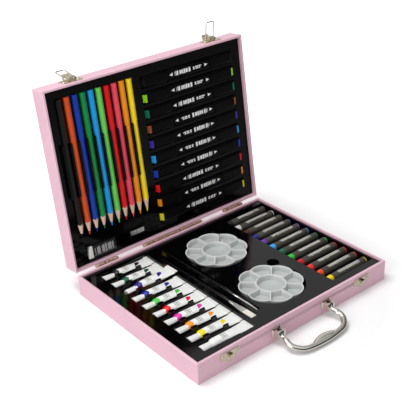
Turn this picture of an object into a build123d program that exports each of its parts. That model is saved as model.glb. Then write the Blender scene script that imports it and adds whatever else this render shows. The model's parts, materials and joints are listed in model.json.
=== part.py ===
"""An art set case: a shallow wooden box with a hinged lid, held open, and its drawing things.

Millimetres. X runs along the hinge, the handle is at -Y, the hinge at +Y and Z is up.
The origin is the centre of the base's underside.
"""

import math
import os

from build123d import *

# Case, as long and as deep as the rows of things that lie in it
BASE_HEIGHT = 27
LID_HEIGHT = 24
WALL = 3
PANEL = 3
RIM_GAP = 0.4
OPEN_ANGLE = 97.5

# Trays
BASE_TRAY_RECESS = 2.5
LID_TRAY_RECESS = 5
SHEET = 0.9
TRAY_FIT = 0.4
POCKET_FIT = 0.5
FLOOR_FIT = 0.3

# Hinges, each as (length, number of knuckles, screws in each leaf)
END_HINGE = (32, 5, 2)
MIDDLE_HINGE = (96, 13, 4)
HINGE_INSET = 46
HINGE_SETBACK = 2.5
HINGE_PIN = 1.1
BARREL = 2.15
PIN_FIT = 0.05
KNUCKLE_GAP = 0.15
LEAF = 1
LEAF_WIDTH = 12
STOP_REACH = 5.6
STOP_START = 2.6
STOP_CLEARANCE = 0.05
SCREW_HEAD = 2.1
SCREW_DOME = 0.9
SCREW_SHANK = 1
SCREW_FIT = 0.1
SCREW_INSET = 6

# Latches; each wire loop's angle is from straight down
LATCH_INSET = 45
LEFT_LOOP_ANGLE = 165
RIGHT_LOOP_ANGLE = 78
LATCH_PLATE_LENGTH = 27
LATCH_PLATE_HEIGHT = 14
LATCH_PLATE_RISE = 3.5
LATCH_SHEET = 1
LATCH_PIVOT_OUT = 3.6
LATCH_PIVOT_RISE = 4
LATCH_PIN = 0.8
LATCH_THROW = 4.5
EAR_SPACING = 7.2
EAR_WIDTH = 2.4
LEVER_INNER = 8.8
LEVER_SHEET = 0.8
LEVER_LENGTH = 15
LEVER_FIT = 0.35
LOOP_WIRE = 0.8
LOOP_SIDE_FIT = 0.3
LOOP_CORNER = 2.4
LOOP_BEND = 1.0
RIVET_SHANK = 0.9
RIVET_RADIUS = 1.8
RIVET_HEAD = 0.7
STUD_TAPER = 35
RIVET_INSET = 3.5

# Catch plates
CATCH_DROP = 11
CATCH_EAR = 4.2
CATCH_EAR_SPACING = 20
CATCH_EAR_RISE = 2.6
CATCH_FOOT = 4.6
CATCH_FOOT_DROP = 2.7
HOOK_WIDTH = 5
HOOK_RISE = 3.4
HOOK_DROP = 3
HOOK_FIT = 0.3

# Handle
HANDLE_CENTRE = 3
POST_SPACING = 81
POST_DROP = 13.5
POST_FOOT = (15, 12.6)
POST_HEAD = (11, 9)
POST_OUT = 10
POST_SLOT = 5.4
POST_FLANGE = 1.5
PIVOT_ROOM = 0.4
HANDLE_PIVOT_OUT = 6
HANDLE_PIN = 1.3
HANDLE_EYE = 3.4
HANDLE_EYE_WIDTH = 4.8
HANDLE_NECK = (4.8, 4.2)
HANDLE_NECK_ROUND = 1.9
HANDLE_NECK_LENGTH = 7
HANDLE_BAR = (7, 6.2)
HANDLE_ROUND = 2.7
HANDLE_BAR_START = (41.4, 12)
HANDLE_SHOULDER = (44.3, 20)
HANDLE_CORNER = (33, 33.2)
HANDLE_REACH = 38
HANDLE_BENDS = (13, 21, 150)
HANDLE_REST = 0.5
GRIP_LENGTH = 38
GRIP_SIZE = (13, 6.6)
GRIP_END = (6.4, 5.6)
GRIP_SETBACK = (3, 4.9)

# Pencils lie in the lid with their points toward the hinge
PENCILS = ["black", "orange", "blue", "green", "sky", "lime", "red", "coral", "amber", "yellow"]
PENCIL_LENGTH = 176
PENCIL_FLATS = 6.9
PENCIL_TIP = 19
PENCIL_CORE = 1.4
PENCIL_POINT = 0.35
PENCIL_PITCH = 11.1
PENCIL_SIDE_ROOM = 16.8
PENCIL_END_ROOM = 11.9
PENCIL_RIDE = 0.4
RIDGE_WIDTH = 3
RIDGE_START = 0.31
RIDGE_STOP = 0.70

# Markers lie across the lid
MARKERS = ["black", "lime", "green", "brown", "violet", "sky", "blue", "red", "orange", "yellow"]
MARKER_LENGTH = 148
MARKER_WIDTH = 15
MARKER_THICK = 11
MARKER_CAP = 38
MARKER_CAP_STEP = 0.5
MARKER_PLUG = 1.6
MARKER_PLUG_FACE = (10, 7)
MARKER_CORNER = 3.2
MARKER_PITCH = 20.1
MARKER_SIDE_ROOM = (22.5, 21.6)
MARKER_END_ROOM = 15.3
MARKER_GAP = 18
MARKER_PROUD = 3.4

# Eraser and sharpener in the lid, by the hinge
ERASER = (41, 16, 11)
ERASER_SLEEVE = 35
ERASER_SLANT = 3
ERASER_CARD = 0.4
ERASER_END_ROOM = 20.5
ERASER_SIDE_ROOM = 5.5
ERASER_GAP = 15.6
ERASER_PROUD = 2.5
ERASER_NOTCH = 6
SHARPENER = (24.6, 13, 10)
SHARPENER_WAIST = 2
SHARPENER_GAP = 22.2
SHARPENER_SIDE_ROOM = 9.5
SHARPENER_PROUD = 1.5
SHARPENER_NOTCH = 4
SHARPENER_BORE = (4, 1)
SHARPENER_THREAD = 1
SHARPENER_BLADE = (21, 6, 0.6)
SHARPENER_SCREW = (2, 1, 0.8)
SHARPENER_SLOT = (0.5, 0.4)

# Paint tubes lie in the base with their caps to the left
TUBES = ["black", "green", "violet", "blue", "lime", "red", "magenta", "orange", "yellow", "white"]
TUBE_LENGTH = 72
TUBE_RADIUS = 6.5
TUBE_CAP = 14
TUBE_CAP_TIP = 5.5
TUBE_CAP_ROOT = 4.7
TUBE_NECK = (3, 8)
TUBE_SHOULDER = 3
TUBE_STRAIGHT = 8
TUBE_TAIL = 19
TUBE_SECTIONS = (0, 0.35, 0.7, 1)
TUBE_FLATTENING = 1.25
TUBE_FILM = 1.4
TUBE_CRIMP = 5
TUBE_FOLD = 2.4
TUBE_PITCH = 20.75
TUBE_SIDE_ROOM = (18.6, 19.65)
TUBE_END_ROOM = 19.8
TUBE_PROUD = 2.3
TUBE_LOBE = 2.9
NECK_LOBE = (9, 5, 17)
TAIL_LOBE = (8, 2.6, 45.5)
TAIL_CHANNEL = 22
VIOLET_SHIFT = (4.9, -0.8)
VIOLET_SWING = 2.0
VIOLET_DROP = 0.9
VIOLET_RISE = 3.7
VIOLET_ROOM = 2.6

# Brushes lie along Y between the tubes and the palettes, bristles toward the handle
BRUSH_LENGTH = 175
BRUSH_HANDLE = 3
BRUSH_NECK = 2
BRUSH_STATIONS = [(0, BRUSH_NECK), (6, 2.6), (14, 2.95), (26, 2.9), (60, 2.3), (88, 1.8)]
BRUSH_TUCK = 4
BRUSH_BUTT = 1.2
BRUSH_PROUD = 0.4
BRUSH_GAP = 11.2
BRUSH_SPACING = 13
FLAT_BRUSH_ROOM = (23.5, 26.5)
FLAT_FERRULE = 26
FLAT_BRISTLES = 17
FLAT_BRISTLE_WIDTH = 9
FLAT_BRISTLE_THICK = 2.2
FLAT_STRANDS = (34, 7)
FLAT_STRAND = 0.16
FLAT_STRAND_MARGIN = (0.24, 0.16)
FLAT_FERRULE_ROUND = 1
ROUND_BRUSH_ROOM = (30.5, 19.5)
ROUND_FERRULE = 28
ROUND_BRISTLES = 15
ROUND_BRISTLE = 1.7
ROUND_RINGS = 5
ROUND_STRAND = 0.11
ROUND_FIRST_RING = 6
ROUND_DRAW = 0.62
ROUND_SHORTER = 4
BRISTLE_BACKING = 1
FERRULE_WALL = 0.35
BRUSH_WELL_ALONG = 116
BRUSH_WELL_RADIUS = 9

# Palettes
PALETTE_RADIUS = 41
PALETTE_SIDE_ROOM = (21.2, 17.8)
PALETTE_SPACE = 22
PALETTE_GAP = 6.2
PALETTE_STAGGER = 2.8
PALETTE_PETALS = 8
PALETTE_PETAL = 19
PALETTE_HEIGHT = 8
PALETTE_WALL = 1.3
PALETTE_FLOOR = 1.4
PALETTE_WELL = 17.5
PALETTE_PROUD = 1.2
PALETTE_TAPER = 18
PALETTE_FIT = 1.2
PALETTE_NOTCH = 8
NOTCH_OUT = 7
NOTCH_DIRECTION = 43

# Oil pastels lie across the base at the right
PASTEL_COUNT = 12
PASTEL_LENGTH = 67.5
PASTEL_RADIUS = 5.2
PASTEL_PAPER = 0.35
PASTEL_BARE = 7
PASTEL_END = 1.5
PASTEL_CHAMFER = 0.8
PASTEL_PITCH = 16.75
PASTEL_SIDE_ROOM = (18.5, 22.25)
PASTEL_END_ROOM = 7
PASTEL_GAP = 19.3
PASTEL_PROUD = 0.3
PASTEL_WELL_ROOM = 4

# The case's size, from the longest row along X and the deepest row along Y
BASE_ROW = (
    TUBE_END_ROOM
    + TUBE_LENGTH
    + BRUSH_GAP
    + BRUSH_SPACING
    + PALETTE_GAP
    + 2 * PALETTE_RADIUS
    + PASTEL_GAP
    + PASTEL_LENGTH
    + PASTEL_END_ROOM
)
PENCIL_SPAN = PENCIL_PITCH * (len(PENCILS) - 1)
LID_ROW = PENCIL_SIDE_ROOM + PENCIL_SPAN + MARKER_GAP + MARKER_LENGTH + MARKER_END_ROOM
INNER_LENGTH = max(BASE_ROW, LID_ROW)
INNER_DEPTH = max(
    PENCIL_END_ROOM + PENCIL_LENGTH + ERASER_GAP + ERASER[1] + ERASER_SIDE_ROOM,
    sum(MARKER_SIDE_ROOM) + MARKER_PITCH * (len(MARKERS) - 1),
    sum(TUBE_SIDE_ROOM) + TUBE_PITCH * (len(TUBES) - 1),
    sum(FLAT_BRUSH_ROOM) + BRUSH_LENGTH,
    sum(ROUND_BRUSH_ROOM) + BRUSH_LENGTH,
    sum(PALETTE_SIDE_ROOM) + 4 * PALETTE_RADIUS + PALETTE_SPACE,
    sum(PASTEL_SIDE_ROOM) + PASTEL_PITCH * (PASTEL_COUNT - 1),
)
CASE_LENGTH = INNER_LENGTH + 2 * WALL
CASE_DEPTH = INNER_DEPTH + 2 * WALL
INNER_RIGHT = INNER_LENGTH / 2
INNER_LEFT = -INNER_RIGHT
INNER_BACK = INNER_DEPTH / 2
INNER_FRONT = -INNER_BACK

# Places worked out from the sizes
RIM_LEVEL = BASE_HEIGHT + RIM_GAP
SHUT_HEIGHT = RIM_LEVEL + LID_HEIGHT
HINGE_Y = CASE_DEPTH / 2 + HINGE_SETBACK
HINGE_Z = BASE_HEIGHT + RIM_GAP / 2
FRONT = -CASE_DEPTH / 2
BACK = CASE_DEPTH / 2
BASE_TRAY_LEVEL = BASE_HEIGHT - BASE_TRAY_RECESS
LID_TRAY_LEVEL = RIM_LEVEL + LID_TRAY_RECESS
HINGE_X = CASE_LENGTH / 2 - HINGE_INSET
HINGES = [(-HINGE_X, *END_HINGE), (0, *MIDDLE_HINGE), (HINGE_X, *END_HINGE)]
LATCH_X = CASE_LENGTH / 2 - LATCH_INSET
LATCHES = [("left", -LATCH_X, LEFT_LOOP_ANGLE), ("right", LATCH_X, RIGHT_LOOP_ANGLE)]
CATCH_RISE = BASE_HEIGHT - CATCH_DROP
POST_RISE = BASE_HEIGHT - POST_DROP
LATCH_PLATE_Z = RIM_LEVEL + LATCH_PLATE_RISE
LATCH_PIVOT_Y = FRONT - LATCH_PIVOT_OUT
LATCH_PIVOT_Z = LATCH_PLATE_Z + LATCH_PIVOT_RISE
LOOP_PIVOT_Z = LATCH_PIVOT_Z + LATCH_THROW
HOOK_GAP = 2 * LOOP_WIRE + 2 * HOOK_FIT
CROSSBAR_Y = FRONT - LATCH_SHEET - HOOK_FIT - LOOP_WIRE
CROSSBAR_Z = CATCH_RISE + HOOK_RISE - LATCH_SHEET - HOOK_FIT - LOOP_WIRE
LOOP_LENGTH = math.hypot(LOOP_PIVOT_Z - CROSSBAR_Z, LATCH_PIVOT_Y - CROSSBAR_Y)
LOOP_SLANT = math.degrees(math.atan2(CROSSBAR_Y - LATCH_PIVOT_Y, LOOP_PIVOT_Z - CROSSBAR_Z))
LOOP_HALF = LEVER_INNER / 2 + LEVER_SHEET + LOOP_SIDE_FIT + LOOP_WIRE
HANDLE_PIVOT_Y = FRONT - HANDLE_PIVOT_OUT
HANDLE_DROP = math.degrees(
    math.asin((POST_RISE - HANDLE_BAR[1] / 2 - HANDLE_REST) / HANDLE_REACH)
)
PENCIL_FIRST = INNER_LEFT + PENCIL_SIDE_ROOM
PENCIL_END = INNER_FRONT + PENCIL_END_ROOM
PENCIL_Z = LID_TRAY_LEVEL - PENCIL_RIDE
PENCIL_CORNER = PENCIL_FLATS / math.sqrt(3)
MARKER_FIRST = INNER_FRONT + MARKER_SIDE_ROOM[0]
MARKER_CENTRE = INNER_RIGHT - MARKER_END_ROOM - MARKER_LENGTH / 2
MARKER_Z = LID_TRAY_LEVEL - MARKER_PROUD + MARKER_THICK / 2
ERASER_X = INNER_LEFT + ERASER_END_ROOM + ERASER[0] / 2
ERASER_Y = INNER_BACK - ERASER_SIDE_ROOM - ERASER[1] / 2
SHARPENER_X = ERASER_X + ERASER[0] / 2 + SHARPENER_GAP + SHARPENER[0] / 2
SHARPENER_Y = INNER_BACK - SHARPENER_SIDE_ROOM - SHARPENER[1] / 2
TUBE_TIP = INNER_LEFT + TUBE_END_ROOM
TUBE_FIRST = INNER_BACK - TUBE_SIDE_ROOM[0]
TUBE_Z = BASE_TRAY_LEVEL + TUBE_PROUD - TUBE_RADIUS
FLAT_BRUSH_X = TUBE_TIP + TUBE_LENGTH + BRUSH_GAP
FLAT_BRUSH_END = INNER_FRONT + FLAT_BRUSH_ROOM[0]
ROUND_BRUSH_X = FLAT_BRUSH_X + BRUSH_SPACING
ROUND_BRUSH_END = INNER_FRONT + ROUND_BRUSH_ROOM[0]
BRUSH_Z = BASE_TRAY_LEVEL + BRUSH_PROUD - BRUSH_HANDLE
PASTEL_FIRST = INNER_BACK - PASTEL_SIDE_ROOM[0]
PASTEL_CENTRE = INNER_RIGHT - PASTEL_END_ROOM - PASTEL_LENGTH / 2
PASTEL_Z = BASE_TRAY_LEVEL + PASTEL_PROUD - PASTEL_RADIUS
FRONT_PALETTE_X = ROUND_BRUSH_X + PALETTE_GAP + PALETTE_RADIUS
BACK_PALETTE_Y = INNER_BACK - PALETTE_SIDE_ROOM[0] - PALETTE_RADIUS
PALETTE_CENTRES = [
    ("back", FRONT_PALETTE_X + PALETTE_STAGGER, BACK_PALETTE_Y),
    ("front", FRONT_PALETTE_X, BACK_PALETTE_Y - 2 * PALETTE_RADIUS - PALETTE_SPACE),
]
PALETTE_Z = BASE_TRAY_LEVEL + PALETTE_PROUD - PALETTE_HEIGHT
RIVET_SPACING = LATCH_PLATE_LENGTH - 2 * RIVET_INSET
LATCH_RIVET_Z = LATCH_PLATE_Z + LATCH_PLATE_HEIGHT / 2
CATCH_RIVET_Z = CATCH_RISE + CATCH_EAR_RISE
LEAF_START = BARREL + 2 * KNUCKLE_GAP
BASE_SCREW_Z = HINGE_Z - LEAF_START - LEAF_WIDTH / 2
LID_SCREW_Z = HINGE_Z + LEAF_START + LEAF_WIDTH / 2
LEVER_CHEEK = LATCH_PIVOT_OUT - LATCH_SHEET - LEVER_FIT
TRAY_LENGTH = INNER_LENGTH - 2 * TRAY_FIT
TRAY_DEPTH = INNER_DEPTH - 2 * TRAY_FIT
BRUSHES = [
    (FLAT_BRUSH_X, FLAT_BRUSH_END, FLAT_FERRULE + FLAT_BRISTLES, FLAT_BRISTLE_WIDTH + 2 * FERRULE_WALL),
    (ROUND_BRUSH_X, ROUND_BRUSH_END, ROUND_FERRULE + ROUND_BRISTLES, 2 * BRUSH_NECK),
]


def turned(plane, axis_y, axis_z, angle):
    """A plane turned about a line along X through (axis_y, axis_z)."""
    there = Location((0, axis_y, axis_z))
    back = Location((0, -axis_y, -axis_z))
    return Plane(there * Location((0, 0, 0), (angle, 0, 0)) * back * plane.location)


def opened(plane):
    """A plane drawn with the lid shut, carried to where the open lid has it."""
    return turned(plane, HINGE_Y, HINGE_Z, -OPEN_ANGLE)


def lengthways(x, y, z):
    """A plane square to Y that looks from the handle toward the hinge."""
    return Plane(origin=(x, y, z), x_dir=(1, 0, 0), z_dir=(0, 1, 0))


def crossways(x, y, z):
    """A plane square to X that looks to the right, with its own x along Y."""
    return Plane(origin=(x, y, z), x_dir=(0, 1, 0), z_dir=(1, 0, 0))


def spaced(first, pitch, count):
    """Evenly spaced places along one direction."""
    return [first + pitch * index for index in range(count)]


def hinge_screw_places(centre, length, count):
    """Screw places along one hinge leaf."""
    step = (length - 2 * SCREW_INSET) / (count - 1)
    return spaced(centre - length / 2 + SCREW_INSET, step, count)


def write(label, *pieces):
    """Write one node whose pieces stay separate solids."""
    node = Compound(label=label, children=list(pieces))
    export_step(node, f"parts/{label}.step")


def unturned(plane):
    """A plane of the base, which stays as it is drawn."""
    return plane


def frame_walls(level, height, stand):
    """Four mitred walls of a frame that stands on a level, each its own solid."""
    half_x, half_y = CASE_LENGTH / 2, CASE_DEPTH / 2
    corners = [(-half_x, -half_y), (half_x, -half_y), (half_x, half_y), (-half_x, half_y)]
    inner = [(x - math.copysign(WALL, x), y - math.copysign(WALL, y)) for x, y in corners]
    walls = []
    for side in range(4):
        after = (side + 1) % 4
        with BuildPart() as wall:
            with BuildSketch(stand(Plane.XY.offset(level))):
                with BuildLine():
                    Polyline(corners[side], corners[after], inner[after], inner[side], close=True)
                make_face()
            extrude(amount=height)
        walls.append(wall)
    return walls


def drilled(blank, planes, radius, depth):
    """A piece with round holes from the given planes, drilled along each plane's normal."""
    with BuildPart() as piece:
        add(blank.part)
        for plane in planes:
            with BuildSketch(plane):
                Circle(radius)
            extrude(amount=depth, mode=Mode.SUBTRACT)
    return piece


def back_screw_planes(rise, stand):
    """Planes on a back wall at its hinge screws, looking into the case."""
    planes = []
    for centre, length, _, screws in HINGES:
        for x in hinge_screw_places(centre, length, screws):
            into = Plane(origin=(x, BACK, rise), x_dir=(1, 0, 0), z_dir=(0, -1, 0))
            planes.append(stand(into))
    return planes


def front_planes(spacing, rise, stand):
    """Planes on a front wall at two places by each latch, looking into the case."""
    places = [x + side * spacing / 2 for _, x, _ in LATCHES for side in (-1, 1)]
    return [stand(lengthways(x, FRONT, rise)) for x in places]


def draw_pencils():
    """Grooves for the pencils."""
    for x in spaced(PENCIL_FIRST, PENCIL_PITCH, len(PENCILS)):
        with Locations((x, PENCIL_END + PENCIL_LENGTH / 2)):
            Rectangle(PENCIL_FLATS + 2 * POCKET_FIT, PENCIL_LENGTH + 2 * POCKET_FIT)


def draw_pencil_ridges():
    """Round-ended ridges between the pencils and outside the first and last."""
    length = PENCIL_LENGTH * (RIDGE_STOP - RIDGE_START)
    middle = PENCIL_END + PENCIL_LENGTH * (RIDGE_STOP + RIDGE_START) / 2
    for x in spaced(PENCIL_FIRST - PENCIL_PITCH / 2, PENCIL_PITCH, len(PENCILS) + 1):
        with Locations((x, middle)):
            SlotOverall(length, RIDGE_WIDTH, rotation=90)


def draw_markers():
    """Pockets for the markers."""
    for y in spaced(MARKER_FIRST, MARKER_PITCH, len(MARKERS)):
        with Locations((MARKER_CENTRE, y)):
            Rectangle(MARKER_LENGTH + 2 * POCKET_FIT, MARKER_WIDTH + 2 * POCKET_FIT)


def draw_eraser():
    """Pocket for the eraser, with a finger notch at its sleeve."""
    with Locations((ERASER_X, ERASER_Y)):
        Rectangle(ERASER[0] + 2 * POCKET_FIT, ERASER[1] + 2 * POCKET_FIT)
    with Locations((ERASER_X + ERASER[0] / 2, ERASER_Y)):
        Circle(ERASER_NOTCH)


def draw_sharpener():
    """Pocket for the sharpener, with a finger notch at its left."""
    with Locations((SHARPENER_X, SHARPENER_Y)):
        Rectangle(SHARPENER[0] + 2 * POCKET_FIT, SHARPENER[1] + 2 * POCKET_FIT)
    with Locations((SHARPENER_X - SHARPENER[0] / 2, SHARPENER_Y)):
        Circle(SHARPENER_NOTCH)


def tube_places():
    """Centre lines of the tubes, from the hinge side to the handle side."""
    return spaced(TUBE_FIRST, -TUBE_PITCH, len(TUBES))


def draw_tubes():
    """Pockets that widen from the cap to the flat tail, and a channel for the tails."""
    cap_half = TUBE_RADIUS + POCKET_FIT
    tail_half = TUBE_TAIL / 2 - POCKET_FIT
    start = TUBE_TIP - POCKET_FIT
    channel = TUBE_TIP + TUBE_LENGTH - TAIL_CHANNEL
    for y in tube_places():
        Polygon(
            (start, y - cap_half),
            (channel, y - tail_half),
            (channel, y + tail_half),
            (start, y + cap_half),
        )
    places = tube_places()
    span = places[0] - places[-1] + TUBE_TAIL + 2 * POCKET_FIT
    with Locations((channel, (places[0] + places[-1]) / 2)):
        Rectangle(TAIL_CHANNEL + POCKET_FIT, span, align=(Align.MIN, Align.CENTER))


def draw_violet_tail():
    """A shallow step for the tail of the tube that lies askew."""
    y = tube_places()[TUBES.index("violet")] + VIOLET_SHIFT[1] + VIOLET_SWING
    with Locations((TUBE_TIP + TUBE_LENGTH - TUBE_CRIMP, y)):
        Rectangle(
            TUBE_CRIMP + VIOLET_SHIFT[0] + 2 * POCKET_FIT,
            TUBE_TAIL + 2 * POCKET_FIT,
            align=(Align.MIN, Align.CENTER),
        )


def draw_tube_lobes():
    """Raised lobes on the ribs between the tubes, by the neck and by the tail."""
    for length, width, along in (NECK_LOBE, TAIL_LOBE):
        for y in tube_places()[:-1]:
            with Locations((TUBE_TIP + along, y - TUBE_PITCH / 2)):
                SlotOverall(length, width)


def draw_brushes():
    """Grooves for the two brushes and one finger well across both."""
    half = BRUSH_HANDLE + POCKET_FIT
    for x, end, head, width in BRUSHES:
        with Locations((x, end + (BRUSH_LENGTH + head) / 2)):
            Rectangle(2 * half, BRUSH_LENGTH - head + 2 * POCKET_FIT)
        with Locations((x, end + head / 2)):
            Rectangle(width + 2 * POCKET_FIT, head + 2 * POCKET_FIT)
    with Locations((FLAT_BRUSH_X + BRUSH_SPACING / 2, FLAT_BRUSH_END + BRUSH_WELL_ALONG)):
        Circle(BRUSH_WELL_RADIUS)


def draw_palettes():
    """Round pockets for the palettes, each with a finger notch at its edge."""
    angle = math.radians(NOTCH_DIRECTION)
    reach = PALETTE_RADIUS + NOTCH_OUT
    for _, x, y in PALETTE_CENTRES:
        with Locations((x, y)):
            Circle(PALETTE_RADIUS + PALETTE_FIT)
        with Locations((x + reach * math.cos(angle), y + reach * math.sin(angle))):
            Circle(PALETTE_NOTCH)


def draw_pastels():
    """One well for the row of oil pastels, wider than the row on all sides but the left."""
    row = PASTEL_PITCH * (PASTEL_COUNT - 1)
    length = PASTEL_LENGTH + PASTEL_WELL_ROOM + POCKET_FIT
    with Locations((PASTEL_CENTRE + (PASTEL_WELL_ROOM - POCKET_FIT) / 2, PASTEL_FIRST - row / 2)):
        Rectangle(length, row + 2 * PASTEL_RADIUS + 2 * PASTEL_WELL_ROOM)


def tray(stand, level, into, skirt, pockets, ridges):
    """A formed sheet: pockets (draw, depth) go into the case, ridges (draw, height) out."""
    face = stand(Plane.XY.offset(level))
    with BuildPart() as sheet:
        with BuildSketch(face):
            Rectangle(TRAY_LENGTH, TRAY_DEPTH)
        extrude(amount=into * SHEET)
        with BuildSketch(face):
            Rectangle(TRAY_LENGTH, TRAY_DEPTH)
            Rectangle(TRAY_LENGTH - 2 * SHEET, TRAY_DEPTH - 2 * SHEET, mode=Mode.SUBTRACT)
        extrude(amount=into * skirt)
        for draw, depth in pockets:
            with BuildSketch(face):
                draw()
                offset(amount=SHEET, kind=Kind.INTERSECTION)
            extrude(amount=into * (depth + SHEET))
        for draw, height in ridges:
            with BuildSketch(face):
                draw()
            extrude(amount=-into * height)
        for draw, depth in pockets:
            with BuildSketch(face):
                draw()
            extrude(amount=into * depth, mode=Mode.SUBTRACT)
    return sheet


def hinge_profile(up):
    """Webs from a leaf to its knuckle: below the axis for the base, above it for the lid."""
    root = HINGE_Z + up * LEAF_START
    clear = HINGE_Z + up * BARREL
    Polygon(
        (BACK, root),
        (BACK + LEAF, root),
        (BACK + LEAF, HINGE_Z),
        (BACK + HINGE_SETBACK - BARREL, HINGE_Z),
        (BACK + HINGE_SETBACK - BARREL, clear),
        (BACK, clear),
    )


def hinge_leaf(centre, length, knuckles, screws, up, stand):
    """One leaf of a hinge with every second knuckle; the base leaf carries the stop."""
    pitch = length / knuckles
    start = centre - length / 2
    leaf_middle = HINGE_Z + up * (LEAF_START + LEAF_WIDTH / 2)
    first = 0 if up < 0 else 1
    with BuildPart() as leaf:
        with BuildSketch(stand(crossways(start, 0, 0))):
            with Locations((BACK + LEAF / 2, leaf_middle)):
                Rectangle(LEAF, LEAF_WIDTH)
        extrude(amount=length)
        for index in range(first, knuckles, 2):
            near = start + pitch * index + KNUCKLE_GAP
            with BuildSketch(stand(crossways(near, 0, 0))):
                hinge_profile(up)
                with Locations((HINGE_Y, HINGE_Z)):
                    Circle(BARREL)
            extrude(amount=pitch - 2 * KNUCKLE_GAP)
        if up < 0:
            with BuildSketch(stand(crossways(start, 0, 0))):
                draw_stop()
            extrude(amount=length)
        with BuildSketch(stand(crossways(start, 0, 0))):
            with Locations((HINGE_Y, HINGE_Z)):
                Circle(HINGE_PIN + PIN_FIT)
        extrude(amount=length, mode=Mode.SUBTRACT)
    screw_places = hinge_screw_places(centre, length, screws)
    holes = [stand(lengthways(x, BACK, leaf_middle)) for x in screw_places]
    return drilled(leaf, holes, SCREW_SHANK + SCREW_FIT, LEAF)


def draw_stop():
    """The bracket behind the barrel, whose sloping top meets the opened lid's leaf."""
    lean = math.radians(OPEN_ANGLE - 90)
    near = HINGE_SETBACK - LEAF

    def top(reach):
        slope = (reach - near * math.sin(lean)) / math.cos(lean)
        return near * math.cos(lean) - slope * math.sin(lean) - STOP_CLEARANCE

    inner = BARREL + 3 * KNUCKLE_GAP
    outline = [
        (-HINGE_SETBACK, -inner - LEAF),
        (STOP_REACH - LEAF, -inner - LEAF),
        (STOP_REACH, -inner),
        (STOP_REACH, top(STOP_REACH)),
        (STOP_START, top(STOP_START)),
        (STOP_START, -inner / 2),
        (inner / 2, -inner),
        (-HINGE_SETBACK, -inner),
    ]
    Polygon(*[(HINGE_Y + y, HINGE_Z + z) for y, z in outline])


def domed_stud(plane, head, dome, shank, depth):
    """A stud with a domed head outside the plane and a shank along its normal."""
    with BuildPart() as stud:
        with BuildSketch(plane):
            Circle(head)
        extrude(amount=-dome, taper=STUD_TAPER)
        with BuildSketch(plane):
            Circle(shank)
        extrude(amount=depth)
    return stud


def latch_plate(x):
    """Latch plate with two ears and the lever's pin."""
    face = opened(lengthways(x, FRONT, LATCH_RIVET_Z))
    with BuildPart() as plate:
        with BuildSketch(face):
            RectangleRounded(LATCH_PLATE_LENGTH, LATCH_PLATE_HEIGHT, RIVET_INSET / 2)
        extrude(amount=-LATCH_SHEET)
        for side in (-1, 1):
            edge = x + side * EAR_SPACING / 2 - LATCH_SHEET / 2
            with BuildSketch(opened(crossways(edge, 0, 0))):
                with Locations((FRONT - LATCH_PIVOT_OUT / 2, LATCH_PIVOT_Z)):
                    Rectangle(LATCH_PIVOT_OUT, EAR_WIDTH)
                with Locations((LATCH_PIVOT_Y, LATCH_PIVOT_Z)):
                    Circle(EAR_WIDTH / 2)
            extrude(amount=LATCH_SHEET)
        pin_half = LEVER_INNER / 2 + LEVER_SHEET
        with BuildSketch(opened(crossways(x - pin_half, LATCH_PIVOT_Y, LATCH_PIVOT_Z))):
            Circle(LATCH_PIN)
        extrude(amount=2 * pin_half)
    holes = [face.offset(-LATCH_SHEET) * Pos(side * RIVET_SPACING / 2, 0) for side in (-1, 1)]
    return drilled(plate, holes, RIVET_SHANK, LATCH_SHEET)


def latch_lever(x):
    """Folded lever: a web and two cheeks, with a finger lip at its free end."""
    cheek = LEVER_INNER / 2
    with BuildPart() as lever:
        for left in (x - cheek - LEVER_SHEET, x + cheek):
            with BuildSketch(opened(crossways(left, 0, 0))):
                with Locations((LATCH_PIVOT_Y, LATCH_PIVOT_Z)):
                    Circle(LEVER_CHEEK)
                with Locations((LATCH_PIVOT_Y, LATCH_PIVOT_Z + LEVER_LENGTH / 2 - LEVER_SHEET)):
                    Rectangle(2 * LEVER_CHEEK, LEVER_LENGTH - 2 * LEVER_SHEET)
            extrude(amount=LEVER_SHEET)
        with BuildSketch(opened(crossways(x - cheek - LEVER_SHEET, 0, 0))):
            draw_lever_web()
        extrude(amount=2 * (cheek + LEVER_SHEET))
        for rise, radius in ((LATCH_PIVOT_Z, LATCH_PIN), (LOOP_PIVOT_Z, LOOP_WIRE)):
            with BuildSketch(opened(crossways(x - cheek - LEVER_SHEET, LATCH_PIVOT_Y, rise))):
                Circle(radius + PIN_FIT)
            extrude(amount=2 * (cheek + LEVER_SHEET), mode=Mode.SUBTRACT)
    return lever


def draw_lever_web():
    """Side view of the lever's web, which turns outward at the finger lip."""
    outer = LATCH_PIVOT_Y - LEVER_CHEEK
    end = LATCH_PIVOT_Z + LEVER_LENGTH
    Polygon(
        (outer, LATCH_PIVOT_Z),
        (outer + LEVER_SHEET, LATCH_PIVOT_Z),
        (outer + LEVER_SHEET, end - 2 * LEVER_SHEET),
        (outer - LEVER_SHEET, end),
        (outer - 2 * LEVER_SHEET, end - LEVER_SHEET),
        (outer, end - 3 * LEVER_SHEET),
    )


def latch_loop(x, angle):
    """Wire loop whose turned-in ends pivot in the lever's cheeks."""
    turn = math.radians(angle)
    swing = Plane(
        origin=(x, LATCH_PIVOT_Y, LOOP_PIVOT_Z),
        x_dir=(1, 0, 0),
        z_dir=(0, -math.cos(turn), math.sin(turn)),
    )
    inside = LEVER_INNER / 2
    corners = [
        (-inside, 0),
        (-LOOP_HALF, 0),
        (-LOOP_HALF, -LOOP_LENGTH),
        (LOOP_HALF, -LOOP_LENGTH),
        (LOOP_HALF, 0),
        (inside, 0),
    ]
    start = opened(Plane(origin=swing.from_local_coords((-inside, 0, 0)), z_dir=(-1, 0, 0)))
    with BuildPart() as loop:
        with BuildLine(opened(swing)):
            FilletPolyline(*corners, radius=[LOOP_BEND, LOOP_CORNER, LOOP_CORNER, LOOP_BEND])
        with BuildSketch(start):
            Circle(LOOP_WIRE)
        sweep()
    return loop


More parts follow.
